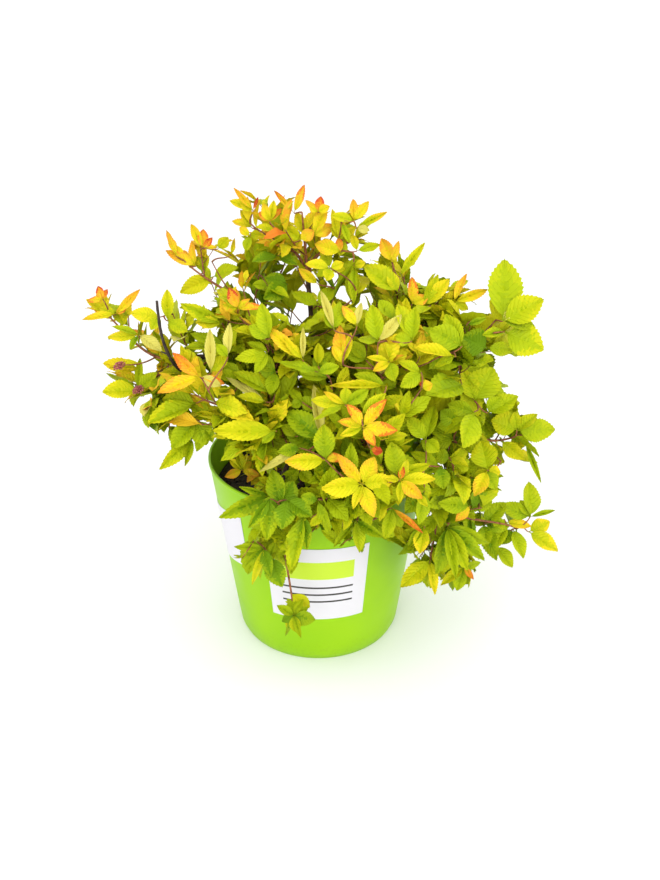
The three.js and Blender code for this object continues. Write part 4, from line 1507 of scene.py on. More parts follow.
@dataclass
class Compost:
    """The root ball's compost, with an uneven top and loose crumbs."""

    pot: NurseryPot
    top: float = 140.0 * MM
    relief: float = 2.4 * MM
    flat_radius: float = 21.0 * MM
    steps: int = 120
    rings: int = 34
    lumps: float = 70.0
    grains: float = 260.0
    crumbs: int = 620
    crumb_mm: Pair = (0.6, 2.1)
    seed: int = 23

    def _ball(self) -> BMesh:
        """The body of compost that fills the pot.

        Returns:
            Its mesh.
        """
        inside = self.pot.wall + 0.5 * MM
        floor = self.pot.floor + 0.3 * MM
        edge = self.pot.wall_radius(self.top) - inside
        low = self.pot.wall_radius(floor) - inside - 1 * MM
        profile = [(0.0, floor), (low, floor), (edge, self.top - 1 * MM)]
        shares = np.linspace(0.99, 0.02, self.rings).tolist()
        profile += [(edge * share, self.top) for share in shares]
        bm = spun(profile + [(0.0, self.top)], self.steps)
        for corner in bm.verts:
            reach = corner.co.xy.length
            if corner.co.z > self.top - 0.5 * MM and self.flat_radius < reach < edge - 1 * MM:
                lump = noise.noise(corner.co * self.lumps) * 0.8
                lump += noise.noise(corner.co * self.grains) * 0.6
                corner.co.z += self.relief * lump - 0.8 * MM
        return bm

    def build(self) -> None:
        """Fills the pot and strews the crumbs."""
        dice = Dice(self.seed)
        pile = Pile()
        pile.add_mesh(self._ball())
        edge = self.pot.wall_radius(self.top) - self.pot.wall - 3 * MM
        for _ in range(self.crumbs):
            reach = math.sqrt(dice.between((self.flat_radius / edge) ** 2, 1.0)) * edge
            at = place(dice.roll() * 360, reach / MM, (self.top - 0.6 * MM) / MM)
            size = dice.between(*self.crumb_mm) * MM
            turn = Quaternion((dice.roll(), dice.roll(), dice.roll(), 1.0)).normalized()
            stretch = Matrix.Diagonal((1.0, dice.between(0.6, 1.0), dice.between(0.5, 0.9), 1.0))
            pile.add_ball(size, Matrix.Translation(at) @ turn.to_matrix().to_4x4() @ stretch)
        finished(pile.piece("compost"), CompostFinish().material(), "root_ball", "root_ball")


# ---- stock and boughs


@dataclass
class WoodyFrame:
    """The stock at the clump's foot and the boughs that rise from it."""

    foot: float = 140.3 * MM
    height: float = 25.0 * MM
    flare_radius: float = 18.0 * MM
    neck_radius: float = 12.5 * MM
    crown_radius: float = 10.5 * MM
    bough_reach: float = 6.0
    lobes: int = 5
    lobe_depth: float = 0.16
    foot_radius: float = 2.8 * MM
    tip_radius: float = 2.1 * MM
    steps: int = 4
    stock_sides: int = 48
    bough_sides: int = 12
    ring_spacing: float = 3.2 * MM
    joint_spacing: float = 17 * MM
    joint_swelling: float = 0.1
    joint_sharpness: float = 60
    between_joints: float = 0.9
    end_share: float = 0.7
    fewest_rings: int = 12
    stock_skin: Pair = (0.9 * MM, 240)
    bough_skin: Pair = (0.45 * MM, 520)
    limbs: dict[str, Limb] = field(default_factory=dict)
    stub_line: list[Vector] = field(default_factory=list)

    def stock_point(self, azimuth: float) -> Vector:
        """Where a limb starts inside the stock."""
        return place(azimuth, self.bough_reach, (self.foot + self.height * 0.45) / MM)

    def _stock(self) -> BMesh:
        """The lobed stock, flat where it meets the compost.

        Returns:
            Its mesh.
        """
        top = self.foot + self.height
        bm = spun(
            [
                (0.0, self.foot),
                (self.flare_radius, self.foot),
                (self.flare_radius * 0.86, self.foot + 2 * MM),
                (self.flare_radius * 0.75, self.foot + 5 * MM),
                (self.neck_radius, self.foot + 11 * MM),
                (self.crown_radius + 1.2 * MM, top - 8 * MM),
                (self.crown_radius * 0.85, top - 3 * MM),
                (self.crown_radius * 0.45, top - 0.6 * MM),
                (0.0, top),
            ],
            self.stock_sides,
        )
        bmesh.ops.subdivide_edges(bm, edges=bm.edges, cuts=1, use_grid_fill=True)
        for corner in bm.verts:
            share = 1 - min(max((corner.co.z - self.foot) / self.height, 0.0), 1.0)
            turn = math.atan2(corner.co.y, corner.co.x)
            lobe = 1 + self.lobe_depth * share * math.cos(self.lobes * turn)
            corner.co.x *= lobe
            corner.co.y *= lobe
        roughen(bm, *self.stock_skin)
        for corner in bm.verts:
            corner.co.z = max(corner.co.z, self.foot)
        return bm

    def _curve(self, bough: Bough) -> tuple[Sweep, Vector]:
        """Lays a bough's curve.

        Args:
            bough: The bough, whose parent has grown.

        Returns:
            The curve, and the unit direction in which its sprays carry on.
        """
        tip = place(*bough.tip)
        if bough.parent:
            start = self.limbs[bough.parent].along(bough.share)[0]
            level = across(tip - start, UP)
        else:
            start = self.stock_point(bough.foot)
            level = place(bough.foot, 1, 0).normalized()
        away = (level * (1 - bough.lift) + UP * bough.lift).normalized()
        onward = (mean_tip(bough.sprays) - tip).normalized()
        return Sweep(start, away, tip, onward), onward

    def _lay_limb(self, pile: Pile, limb: Limb) -> None:
        """Lays one bough on a pile, with slight swellings at its old leaf joints.

        Args:
            pile: The pile.
            limb: The bough.
        """
        length = limb.curve.length
        count = max(self.fewest_rings, int(length / self.ring_spacing))
        radii = []
        for i in range(count + 1):
            share = i / count
            off_joint = (share * length / self.joint_spacing) % 1.0 - 0.5
            joint = self.joint_swelling * math.exp(-(off_joint**2) * self.joint_sharpness)
            end = 1.0 if i < count else self.end_share
            radii.append(limb.radius(share) * (self.between_joints + joint) * end)
        pile.add_tube(limb.curve.line(count), radii, self.bough_sides, self.bough_skin)

    def grow(self) -> None:
        """Works out every bough, each parent before what it carries."""
        for bough in BOUGHS:
            curve, onward = self._curve(bough)
            limb = Limb(curve, self.foot_radius, self.tip_radius, self.steps, onward)
            self.limbs[bough.name] = limb

    def build(self) -> None:
        """Makes the stock and the boughs one piece of rough bark."""
        pile = Pile()
        pile.add_mesh(self._stock())
        for limb in self.limbs.values():
            self._lay_limb(pile, limb)
        finish = BarkFinish("old bark", srgb(38, 26, 22), srgb(92, 66, 52))
        finished(pile.piece("woody_boughs"), finish.material(), "bark", "stock", *self.limbs)

    def build_stub(self, plan: StubPlan) -> None:
        """Makes the dead stub with its spur.

        Args:
            plan: Its sizes.
        """
        start, _ = self.limbs[plan.parent].along(plan.share)
        tip, elbow = place(*plan.tip), place(*plan.elbow)
        bend = ((tip - elbow).normalized() + (elbow - start).normalized() * 0.7).normalized()
        foot = Sweep(start, (elbow - start).normalized(), elbow, bend)
        stem = Sweep(elbow, bend, tip, UP)
        path = foot.line(8) + stem.line(18)[1:]
        radii = []
        for i in range(len(path)):
            joint = 1.0 if i % plan.joint_rings else plan.swelling
            radii.append(lerp(plan.foot_radius, plan.tip_radius, i / (len(path) - 1)) * joint)
        pile = Pile()
        pile.add_tube(path, radii, 10, plan.skin)
        at = stem.point(plan.spur_share)
        aside = (place(*plan.spur_tip) - at).normalized()
        spur = Sweep(at, aside, at + aside * plan.spur_length, aside)
        radii = [lerp(1.0, plan.spur_taper, i / 9) * plan.spur_radius for i in range(10)]
        pile.add_tube(spur.line(9), radii, 8, plan.spur_skin)
        self.stub_line = stem.line(14) + spur.line(3)
        finish = BarkFinish("dead wood", srgb(22, 16, 14), srgb(64, 48, 40))
        finished(pile.piece("dry_stub"), finish.material(), "dead_wood", "dead_stub")


def mean_tip(sprays: tuple[Spray, ...]) -> Vector:
    """The mean of the places where some sprays' outermost leaves are."""
    return sum((place(*spray.tip) for spray in sprays), Vector()) / len(sprays)


# ---- leaves


@dataclass(frozen=True)
class Curl:
    """How a leaf bends: its fold, its arch, its twist and the waves of its edge."""

    fold: float
    arch: float
    twist: float
    wave: float


CURLS = (
    Curl(0.26, 0.10, 0.08, 0.010),
    Curl(0.16, 0.24, -0.22, 0.018),
    Curl(0.38, -0.05, 0.16, 0.010),
    Curl(0.22, 0.38, 0.26, 0.022),
    Curl(0.10, 0.16, -0.34, 0.026),
    Curl(0.30, 0.02, -0.10, 0.012),
)


class Zone(Enum):
    """The parts of a leaf that can differ in tint."""

    HEART = 0
    BODY = 1
    EDGE = 2


@dataclass(frozen=True)
class LeafPart:
    """Some of a leaf's faces as arrays: corners at unit size, faces and UV places."""

    corners: np.ndarray
    faces: list[tuple[int, ...]]
    spots: np.ndarray


class LeafShape:
    """A toothed leaf of unit length and width, in one part for each zone of its tint."""

    STALK = 0.07
    WIDEST = 0.45
    NARROWEST = 0.035
    TOOTH = 0.06
    TOOTHED = (0.2, 0.96)
    TOOTH_LEAN = 0.018
    SWEEP_BACK = 0.03
    TEETH_ON = 0.99
    NOTCH = 0.6
    FULLNESS = 0.82
    WAVES = 15
    WAVE_APART = 1.2
    RIPPLE = 0.007
    RIPPLED = (0.2, 0.8)
    FOLD = (1.2, 0.5)
    DRAWN_IN = 0.25
    RIPE_ALONG = 0.62
    RIPE_ASIDE = 0.35
    RIPE_UNEVEN = 0.1
    RIPE_HEART = 0.36
    RIPE_EDGE = 0.66
    FINE_GRID = (26, 8)

    def __init__(self, curl: Curl, seed: int, rows: int = 18, columns: int = 4) -> None:
        """Shapes the leaf from a grid.

        Args:
            curl: How it bends.
            seed: What settles where its zones meet.
            rows: How many faces it has along its length.
            columns: How many it has across.
        """
        self.rows = rows
        bm = bmesh.new()
        bmesh.ops.create_grid(bm, x_segments=columns, y_segments=rows, size=0.5)
        spots = []
        for corner in bm.verts:
            row = round((corner.co.y + 0.5) * rows)
            spots.append((corner.co.x + 0.5, row / rows))
            corner.co = self._bent(corner.co.x * 2, row, curl)
        bm.verts.index_update()
        corners = np.array([corner.co for corner in bm.verts])
        maps = np.array(spots)
        faces = [tuple(corner.index for corner in face.verts) for face in bm.faces]
        bm.free()
        dice = Dice(seed)
        zones = [self._zone(*maps[list(face)].mean(axis=0), dice) for face in faces]
        self.parts = {
            zone: self._part(corners, maps, [face for face, z in zip(faces, zones) if z is zone])
            for zone in Zone
        }

    def _zone(self, aside: float, along: float, dice: Dice) -> Zone:
        """The zone of a face: the tint ripens from the edge and the tip inwards.

        Args:
            aside: Where the face lies across the leaf, from 0 to 1.
            along: Where it lies along the leaf, from 0 to 1.
            dice: What roughens the borders.

        Returns:
            The zone.
        """
        ripe = self.RIPE_ALONG * along + abs(aside - 0.5) * (self.RIPE_ASIDE + along)
        ripe += dice.between(-self.RIPE_UNEVEN, self.RIPE_UNEVEN)
        if ripe > self.RIPE_EDGE:
            return Zone.EDGE
        return Zone.HEART if ripe < self.RIPE_HEART else Zone.BODY

    def _half_width(self, blade: float) -> float:
        """Half the width at a share of the blade, for a leaf of unit width."""
        swell = math.sin(math.pi * blade ** (math.log(0.5) / math.log(self.WIDEST)))
        return max(0.5 * swell**self.FULLNESS, self.NARROWEST * (1 - blade))

    def _bent(self, share: float, row: int, curl: Curl) -> Vector:
        """Where a corner of the grid lies on the leaf.

        Args:
            share: Its place across the leaf, from -1 to 1.
            row: Its row.
            curl: How the leaf bends.

        Returns:
            The place.
        """
        along = row / self.rows
        blade = (along - self.STALK) / (1 - self.STALK)
        half = self._half_width(max(blade, 0.0))
        toothed = abs(share) > self.TEETH_ON and self.TOOTHED[0] < blade < self.TOOTHED[1]
        tooth = (self.TOOTH if row % 2 else -self.TOOTH * self.NOTCH) if toothed else 0.0
        out = share * half * (1 + tooth)
        forward = along + (self.TOOTH_LEAN if tooth > 0 else 0.0)
        forward -= self.SWEEP_BACK * abs(share) * max(blade, 0.0)
        lift = abs(out) * curl.fold * (self.FOLD[0] - self.FOLD[1] * abs(share))
        lift -= curl.arch * along * along
        phase = along * self.WAVES + (self.WAVE_APART if share > 0 else 0.0)
        lift += curl.wave * math.sin(phase) * abs(share)
        if self.RIPPLED[0] < abs(share) < self.RIPPLED[1]:
            lift += self.RIPPLE if row % 2 else -self.RIPPLE
        turn = curl.twist * along
        x = out * math.cos(turn) - lift * math.sin(turn) * 0.5
        z = out * math.sin(turn) + lift * math.cos(turn)
        return Vector((x, forward * (1 - self.DRAWN_IN * abs(curl.arch) * along), z))

    @staticmethod
    def _part(corners: np.ndarray, maps: np.ndarray, faces: list[tuple[int, ...]]) -> LeafPart:
        """The faces of one part, with only the corners that they use.

        Args:
            corners: The leaf's corners.
            maps: The corners' places on the UV map.
            faces: The part's faces.

        Returns:
            The part.
        """
        kept = sorted({i for face in faces for i in face})
        index = {old: new for new, old in enumerate(kept)}
        clean = []
        for face in faces:
            places = [tuple(np.round(corners[i], 9)) for i in face]
            ring = [index[i] for n, i in enumerate(face) if places[n] != places[n - 1]]
            if len(ring) > 2:
                clean.append(tuple(ring))
        return LeafPart(corners[kept], clean, maps[kept])


@dataclass
class Leaf:
    """One leaf in its place, with the tint of each of its zones."""

    root: Vector
    along: Vector
    facing: Vector
    length: float
    width: float
    tints: dict[Zone, Tint]
    laid: bool = False
    TESTED = (0.45, 0.72, 0.75)

    def points(self) -> list[Vector]:
        """A few points of the leaf, for the tests of what it may cover.

        Returns:
            The points, of which the last is its tip.
        """
        side = self.facing.cross(self.along) * (self.width / 2)
        at_middle, at_upper, share = self.TESTED
        middle = self.root + self.along * (self.length * at_middle)
        upper = self.root + self.along * (self.length * at_upper)
        tip = self.root + self.along * self.length
        narrow = side * share
        return [middle, middle + side, middle - side, upper + narrow, upper - narrow, tip]

    def lay(self, shape: LeafShape, piles: dict[Tint, Pile]) -> None:
        """Lays each part of the leaf on the pile of its tint.

        Args:
            shape: What the leaf is shaped like.
            piles: The pile of each tint.
        """
        side = self.along.cross(self.facing)
        axes = np.array([side * self.width, self.along * self.length, self.facing * self.length])
        for zone, tint in self.tints.items():
            part = shape.parts[zone]
            piles[tint].add(np.array(self.root) + part.corners @ axes, part.faces, part.spots)


# ---- sprays


class FrontPlan:
    """What the front view asks of the leaves that grow by the rule."""

    SLACK = 2.0 * MM
    MARGIN = 2.0
    KEPT = (0.12, 0.95, 6)
    KEPT_OUTLINE = (0.87, 0.8)

    def __init__(self) -> None:
        """Takes the outline and the gaps; no leaf is laid yet."""
        self.outline = numbers(OUTLINE)
        self.gaps = numbers(GAPS)
        self.laid = np.zeros((0, 4))

    def keep(self, leaf: Leaf) -> None:
        """Keeps the view to a laid leaf, or to a flower head, free.

        Args:
            leaf: The leaf, or one that stands for the flower head.
        """
        shares = np.linspace(*self.KEPT)
        middles = [leaf.root + leaf.along * leaf.length * share for share in shares]
        spots = VIEW.spots(middles)
        skew, fullness = self.KEPT_OUTLINE
        broad = leaf.width / 2 * np.sin(np.pi * shares**skew) ** fullness
        half = broad / spots[:, 2] * VIEW.focal
        self.laid = np.concatenate([self.laid, np.column_stack([spots, half])])

    def keep_line(self, points: list[Vector], half: float) -> None:
        """Keeps the view to a line of points free, as wide as twice a half-width on the sheet."""
        spots = VIEW.spots(points)
        self.laid = np.concatenate([self.laid, np.column_stack([spots, np.full(len(spots), half)])])

    def within(self, spots: np.ndarray) -> np.ndarray:
        """Which spots lie within the outline, by the even-odd rule.

        Args:
            spots: The spots, as rows.

        Returns:
            Whether each lies within it.
        """
        u, v = spots[:, :1], spots[:, 1:2]
        start, end = self.outline, np.roll(self.outline, -1, axis=0)
        spans = (start[:, 1] > v) != (end[:, 1] > v)
        slope = (end[:, 0] - start[:, 0]) / (end[:, 1] - start[:, 1] + 1e-9)
        left = u < start[:, 0] + (v - start[:, 1]) * slope
        return (spans & left).sum(axis=1) % 2 == 1

    def allows(self, points: list[Vector]) -> bool:
        """Whether a leaf keeps to the outline, off the gaps and behind what is laid.

        Args:
            points: Some points of the leaf.

        Returns:
            Whether it does.
        """
        spots = VIEW.spots(points)
        if not self.within(spots).all():
            return False
        for discs, margin in ((self.gaps, self.MARGIN), (self.laid, 0.0)):
            aside = np.hypot(spots[:, :1] - discs[:, 0], spots[:, 1:2] - discs[:, 1])
            hides = aside < discs[:, -1] + margin
            if discs is self.laid:
                hides &= spots[:, 2:] < discs[:, 2] + self.SLACK
            if hides.any():
                return False
        return True


@dataclass
class Shoot:
    """A stem, side shoot or twiglet, and how it is leaved."""

    limb: Limb
    bare: float
    order: int
    leaf: LeafKind
    mood: Mood
    hang: float = 0.0
    path_start: list[Vector] = field(default_factory=list)
    parent: "Shoot | None" = None
    at: float = 0.0
    reach: float = 0.0

    def bears_at(self, share: float) -> None:
        """Notes that something stands on the shoot at a share of it, so it is drawn that far."""
        self.reach = max(self.reach, share)


@dataclass(frozen=True)
class Order:
    """The sizes of the stems (0), the side shoots (1) or the twiglets (2)."""

    radii: Pair
    rings: int
    sides: int
    spacing: float
    leaf_scale: float
    twiglets: tuple[float, ...]
    twiglet_length: Pair


ORDERS = (
    Order(
        (1.45 * MM, 0.62 * MM), 14, 7, 9.5 * MM, 1.0, (0.13, 0.29, 0.46, 0.63, 0.8),
        (16 * MM, 28 * MM),
    ),
    Order((0.72 * MM, 0.42 * MM), 9, 6, 8.5 * MM, 0.95, (0.36, 0.62), (12 * MM, 20 * MM)),
    Order((0.42 * MM, 0.28 * MM), 5, 5, 7.5 * MM, 0.8, (), (0.0, 0.0)),
)


@dataclass
class Foliage:
    """Every spray: its stems, side shoots, twiglets, leaves and flower heads."""

    wood: WoodyFrame
    pot: NurseryPot
    compost_top: float = 140.0 * MM
    tuft: int = 3
    bud_tuft: int = 8
    tuft_spacing: float = 2.2 * MM
    tilt: float = 60.0
    turn_spread: float = 24.0
    size_draw: Pair = (0.78, 1.12)
    tip_shrink: float = 0.36
    stalk_open: float = 60.0
    stalk_closed: float = 20.0
    bud_closed: float = 44.0
    stalk_draw: Pair = (-8, 12)
    broad_draw: Pair = (0.9, 1.1)
    light_lean: float = 0.8
    lifts: tuple[float, ...] = (0.12, 0.5, 1.0)
    outward_lean: float = 0.18
    ripe_from: float = 190 * MM
    ripe_over: float = 110 * MM
    crown_radius: float = 170 * MM
    crown_flat: float = 0.85
    least_ripe: float = 0.15
    fresh_from: float = 0.3
    fresh_twiglet: float = 0.75
    painted_light_share: float = 0.9
    unripe_from: Pair = (0.25, 0.9)
    heart_share: float = 0.6
    edge_shares: Pair = (0.45, 0.6)
    clearance: float = 1.6 * MM
    over_rim: float = 1.5 * MM
    over_ground: float = 2 * MM
    bough_shoot_spacing: float = 14.5 * MM
    bough_shoot_length: Pair = (26 * MM, 44 * MM)
    bough_bare: Pair = (0.3, 30 * MM)
    bough_clothed_to: float = 0.97
    bough_spacing_draw: Pair = (0.8, 1.2)
    bough_lime: float = 0.6
    back_from: float = 0.3
    back_length: float = 1.75
    back_spacing: float = 0.55
    twiglet_bare: float = 0.3
    shortening: float = 0.75
    shortenings: int = 4
    join_shares: tuple[float, ...] = (0.25, 0.4, 0.55, 0.7, 0.85, 0.97)
    join_drop: float = 0.4
    join_along: float = 0.6
    join_ahead: float = 1.5
    nudges: tuple[float, ...] = (0, 35, -35, 75, -75, 120, -120, 180)
    stub_half_width: float = 4.5
    posy_radii: Pair = (0.75 * MM, 0.42 * MM)
    posy_rise: Pair = (-0.2, 0.28)
    posy_roll: float = 26.0
    flat_arch: float = 0.2
    head_beads: int = 34
    head_radius: float = 4.8 * MM
    head_rise: float = 2.4 * MM
    head_onward: tuple[float, float, float] = (-0.2, -0.3, 0.93)
    head_view: Pair = (6 * MM, 14 * MM)
    head_lift: float = 0.6 * MM
    head_stalk: Pair = (0.22 * MM, 0.16 * MM)
    bead_mm: Pair = (0.55, 0.95)
    posy_normal: Vector = field(default_factory=lambda: Vector((0.0, -0.8, 0.6)))
    front: FrontPlan = field(default_factory=FrontPlan)
    heads: list[Limb] = field(default_factory=list)
    posy_stems: list[Limb] = field(default_factory=list)
    shoots: list[list[Shoot]] = field(default_factory=list)
    leaves: list[Leaf] = field(default_factory=list)

    def _fork_feet(self, bough: Bough) -> dict[str, Vector]:
        """Where the stems of a bough's sprays start, side by side round its tip.

        Args:
            bough: The bough.

        Returns:
            The foot of each spray's stem, by the spray's name.
        """
        limb = self.wood.limbs[bough.name]
        away = limb.onward
        foot = limb.curve.point(1.0) + away * RULE.gap
        count = len(bough.sprays)
        if count == 1:
            return {bough.sprays[0].name: foot}
        offset = (RULE.fork_radius + RULE.gap / 2 + RULE.fork_slack) / math.sin(math.pi / count)
        mean = mean_tip(bough.sprays)
        first = across(place(*bough.sprays[0].tip) - mean, away)
        second = away.cross(first)

        def bearing(spray: Spray) -> float:
            """The angle about the tip at which a spray's own tip lies."""
            aside = place(*spray.tip) - mean
            return (math.atan2(aside.dot(second), aside.dot(first)) + math.tau + 0.01) % math.tau

        ordered = sorted(bough.sprays, key=bearing)
        return {
            spray.name: foot + turned(first, away, i * math.tau / count) * offset
            for i, spray in enumerate(ordered)
        }

    def _stem(self, spray: Spray, foot: Vector, away: Vector) -> Limb:
        """A spray's stem, from its foot to where its last leaf starts.

        Args:
            spray: The spray.
            foot: The stem's foot.
            away: The unit direction in which it leaves.

        Returns:
            The stem.
        """
        tip = place(*spray.tip)
        nod = Vector((0.0, 0.0, RULE.stem_rise - spray.hang))
        onward = ((tip - foot).normalized() + nod).normalized()
        end = tip - onward * (RULE.over_tip * spray.leaf.length)
        return Limb(Sweep(foot, away, end, onward), *ORDERS[0].radii, RULE.stem_steps, onward)

    def _side_shoot(
        self, hang: float, stem: Limb, share: float, length: float, turn: float, order: int
    ) -> Limb:
        """A side shoot of a stem.

        Args:
            hang: How much the spray hangs.
            stem: The stem.
            share: Where along the stem.
            length: How far it reaches.
            turn: Degrees about the stem.
            order: 1, or 2 for a twiglet.

        Returns:
            The side shoot.
        """
        start, axis = stem.along(share)
        rise = UP * (RULE.rise - RULE.droop * hang)
        outward = turned(sideways(axis), axis, math.radians(turn))
        leave = (axis * RULE.leave_along + outward * RULE.leave_aside).normalized()
        end = start + (leave + rise).normalized() * length
        heading = ((end - start).normalized() + rise * RULE.last_rise).normalized()
        curve = Sweep(start, leave, end, heading)
        return Limb(curve, *ORDERS[order].radii, RULE.shoot_steps, heading)

    def _with_twiglets(self, shoots: list[Shoot], dice: Dice) -> list[Shoot]:
        """Grows the twiglets that stand on some shoots.

        Args:
            shoots: The shoots.
            dice: What their numbers come from.

        Returns:
            The shoots, and the twiglets after them.
        """
        grown = list(shoots)
        for shoot in shoots:
            order = ORDERS[shoot.order]
            turn = dice.roll() * 360
            for share in order.twiglets[::shoot.leaf.twiglet_step]:
                turn += RULE.divergence
                length = dice.between(*order.twiglet_length)
                if share < shoot.bare:
                    continue
                limb = self._side_shoot(shoot.hang, shoot.limb, share, length, turn, 2)
                if self._in_outline(limb):
                    kinds = (shoot.leaf, shoot.mood, shoot.hang)
                    twiglet = Shoot(limb, self.twiglet_bare, 2, *kinds, parent=shoot, at=share)
                    grown.append(twiglet)
        return grown

    def _in_outline(self, limb: Limb) -> bool:
        """Whether a limb ends within the front view's outline."""
        return bool(self.front.within(VIEW.spots([limb.curve.point(1.0)])).all())

    def _grow_spray(self, spray: Spray, index: int, stem: Limb, from_bough: list[Vector]) -> None:
        """Grows a spray's side shoots and twiglets.

        Args:
            spray: The spray.
            index: Its number, which settles its seed.
            stem: Its stem.
            from_bough: What of the bough its stem is drawn from.
        """
        dice = Dice(RULE.shoot_seed + index * RULE.shoot_seed_step)
        kinds = (spray.leaf, spray.mood, spray.hang)
        shoots = [Shoot(stem, spray.bare, 0, *kinds, path_start=from_bough)]
        turn = dice.roll() * 360
        for i in range(spray.shoots):
            turn += RULE.divergence + (dice.roll() - 0.5) * RULE.turn_spread
            first = max(spray.bare, RULE.first_shoot)
            share = lerp(first, RULE.last_shoot, (i + 0.5) / spray.shoots)
            length = spray.spread * MM * (RULE.reach[0] - RULE.reach[1] * share)
            length *= RULE.reach_draw[0] + RULE.reach_draw[1] * dice.roll()
            length += spray.leaf.carry_on
            limb = self._side_shoot(spray.hang, stem, share, length, turn, 1)
            for _ in range(self.shortenings):
                if self._in_outline(limb):
                    break
                length *= self.shortening
                limb = self._side_shoot(spray.hang, stem, share, length, turn, 1)
            shoots.append(Shoot(limb, RULE.shoot_bare, 1, *kinds, parent=shoots[0], at=share))
        self.shoots.append(self._with_twiglets(shoots, dice))

    def _clothe_bough(self, bough: Bough, index: int) -> None:
        """Grows leafy side shoots along a bough, for the crown's heart.

        Args:
            bough: The bough.
            index: Its number, which settles its seed.
        """
        dice = Dice(RULE.bough_seed + index * RULE.bough_seed_step)
        limb = self.wood.limbs[bough.name]
        spray = bough.sprays[-1]
        length = limb.curve.length
        at = max(length * self.bough_bare[0], self.bough_bare[1])
        turn = dice.roll() * 360
        shoots = []
        at_back = limb.onward.y > self.back_from
        longer, closer = (self.back_length, self.back_spacing) if at_back else (1.0, 1.0)
        while at < length * self.bough_clothed_to:
            turn += RULE.divergence
            reach = dice.between(*self.bough_shoot_length) * longer
            shoot = self._side_shoot(0.0, limb, at / length, reach, turn, 1)
            mood = Mood.LIME if dice.roll() < self.bough_lime else Mood.GREEN
            if self._in_outline(shoot):
                shoots.append(Shoot(shoot, RULE.shoot_bare, 1, spray.leaf, mood))
            at += self.bough_shoot_spacing * dice.between(*self.bough_spacing_draw) * closer
        self.shoots.append(self._with_twiglets(shoots, dice))

    def grow(self) -> None:
        """Grows every spray from its bough's tip, the sprig, and the boughs' own side shoots."""
        index = 0
        for bough in BOUGHS:
            limb = self.wood.limbs[bough.name]
            feet = self._fork_feet(bough)
            for spray in bough.sprays:
                foot, away = feet[spray.name], limb.onward
                path = [limb.curve.point(RULE.fork_share)]
                if spray.foot_on:
                    foot, away = self.wood.limbs[spray.foot_on].along(RULE.foot_on_share)
                    path = []
                self._grow_spray(spray, index, self._stem(spray, foot, away), path)
                index += 1
        foot = self.wood.stock_point(SPRIG_FOOT)
        away = place(SPRIG_FOOT, 0.8, 0.6).normalized()
        self._grow_spray(SPRIG, index, self._stem(SPRIG, foot, away), [])
        for index, bough in enumerate(BOUGHS):
            self._clothe_bough(bough, index)
        self.front.keep_line(self.wood.stub_line, self.stub_half_width)
        self._lay_posies()
        for index, shoots in enumerate(self.shoots):
            self._leaf_out_all(shoots, Dice(RULE.leaf_seed + index * RULE.leaf_seed_step))

    def _leaf_out_all(self, shoots: list[Shoot], dice: Dice) -> None:
        """Sets the leaves of a spray, and drops the twigs that are left bare.

        Args:
            shoots: The spray's shoots; bare ones are taken out.
            dice: What the numbers come from.
        """
        for shoot in shoots:
            before = len(self.leaves)
            if shoot.order == 2 and not self.front.allows(shoot.limb.curve.line(3)[2:]):
                continue
            self._leaf_out(shoot, dice)
            if shoot.order == 2 and len(self.leaves) < before + 2:
                del self.leaves[before:]
                shoot.reach = 0.0
        for shoot in reversed(shoots):
            if shoot.reach and shoot.parent:
                shoot.parent.bears_at(shoot.at)
        shoots[:] = [shoot for shoot in shoots if shoot.reach]

    def _stem_to(self, foot: Vector, onward: Vector, sources: list[Shoot]) -> Limb:
        """A thin stem from the nearest shoot to a foot, preferring shoots that lie lower.

        Args:
            foot: Where it ends.
            onward: The way it points there.
            sources: The shoots that it may start from, to which it is added.

        Returns:
            The stem.
        """
        best: tuple[float, Shoot, float] | None = None
        for source in sources:
            for share in self.join_shares:
                start, _ = source.limb.along(share)
                cost = (start - foot).length + self.join_drop * max(start.z - foot.z, 0.0)
                if best is None or cost < best[0]:
                    best = (cost, source, share)
        _, source, share = best
        source.bears_at(share)
        start, axis = source.limb.along(share)
        ahead = (foot - start).normalized()
        leave = (axis * self.join_along + ahead * self.join_ahead).normalized()
        arrive = (onward * self.join_along + ahead).normalized()
        limb = Limb(Sweep(start, leave, foot, arrive), *self.posy_radii, 2, onward)
        sources.append(Shoot(limb, 1.0, 1, FULL, LIME, reach=1.0))
        return limb

    def _lay_posies(self) -> None:
        """Lays the leaves and flower heads that the front view draws one by one."""
        dice = Dice(RULE.posy_seed)
        sources = [shoot for shoots in self.shoots for shoot in shoots if shoot.order < 2]
        for posy in posies():
            foot = VIEW.at_depth(posy.foot, posy.depth)
            tips = []
            for u, v, wide, tint in posy.blades:
                tip = VIEW.on_plane((u, v), foot, self.posy_normal)
                rise = (tip - foot).length * dice.between(*self.posy_rise)
                tip += (Vector(VIEW.eye) - tip).normalized() * rise
                tips.append(tip)
                self._lay_blade(foot, tip, wide, tint, posy.blush, dice)
            middle = sum(tips, Vector()) / len(tips)
            onward = ((middle - foot).normalized() + UP * 0.5).normalized()
            self.posy_stems.append(self._stem_to(foot, onward, sources))
        for depth, spot in HEADS:
            foot = VIEW.at_depth(spot, depth)
            onward = Vector(self.head_onward).normalized()
            self.heads.append(self._stem_to(foot, onward, sources))
            below, broad = self.head_view
            shown = Leaf(foot - onward * below, onward, self.posy_normal, broad, broad, {})
            self.front.keep(shown)

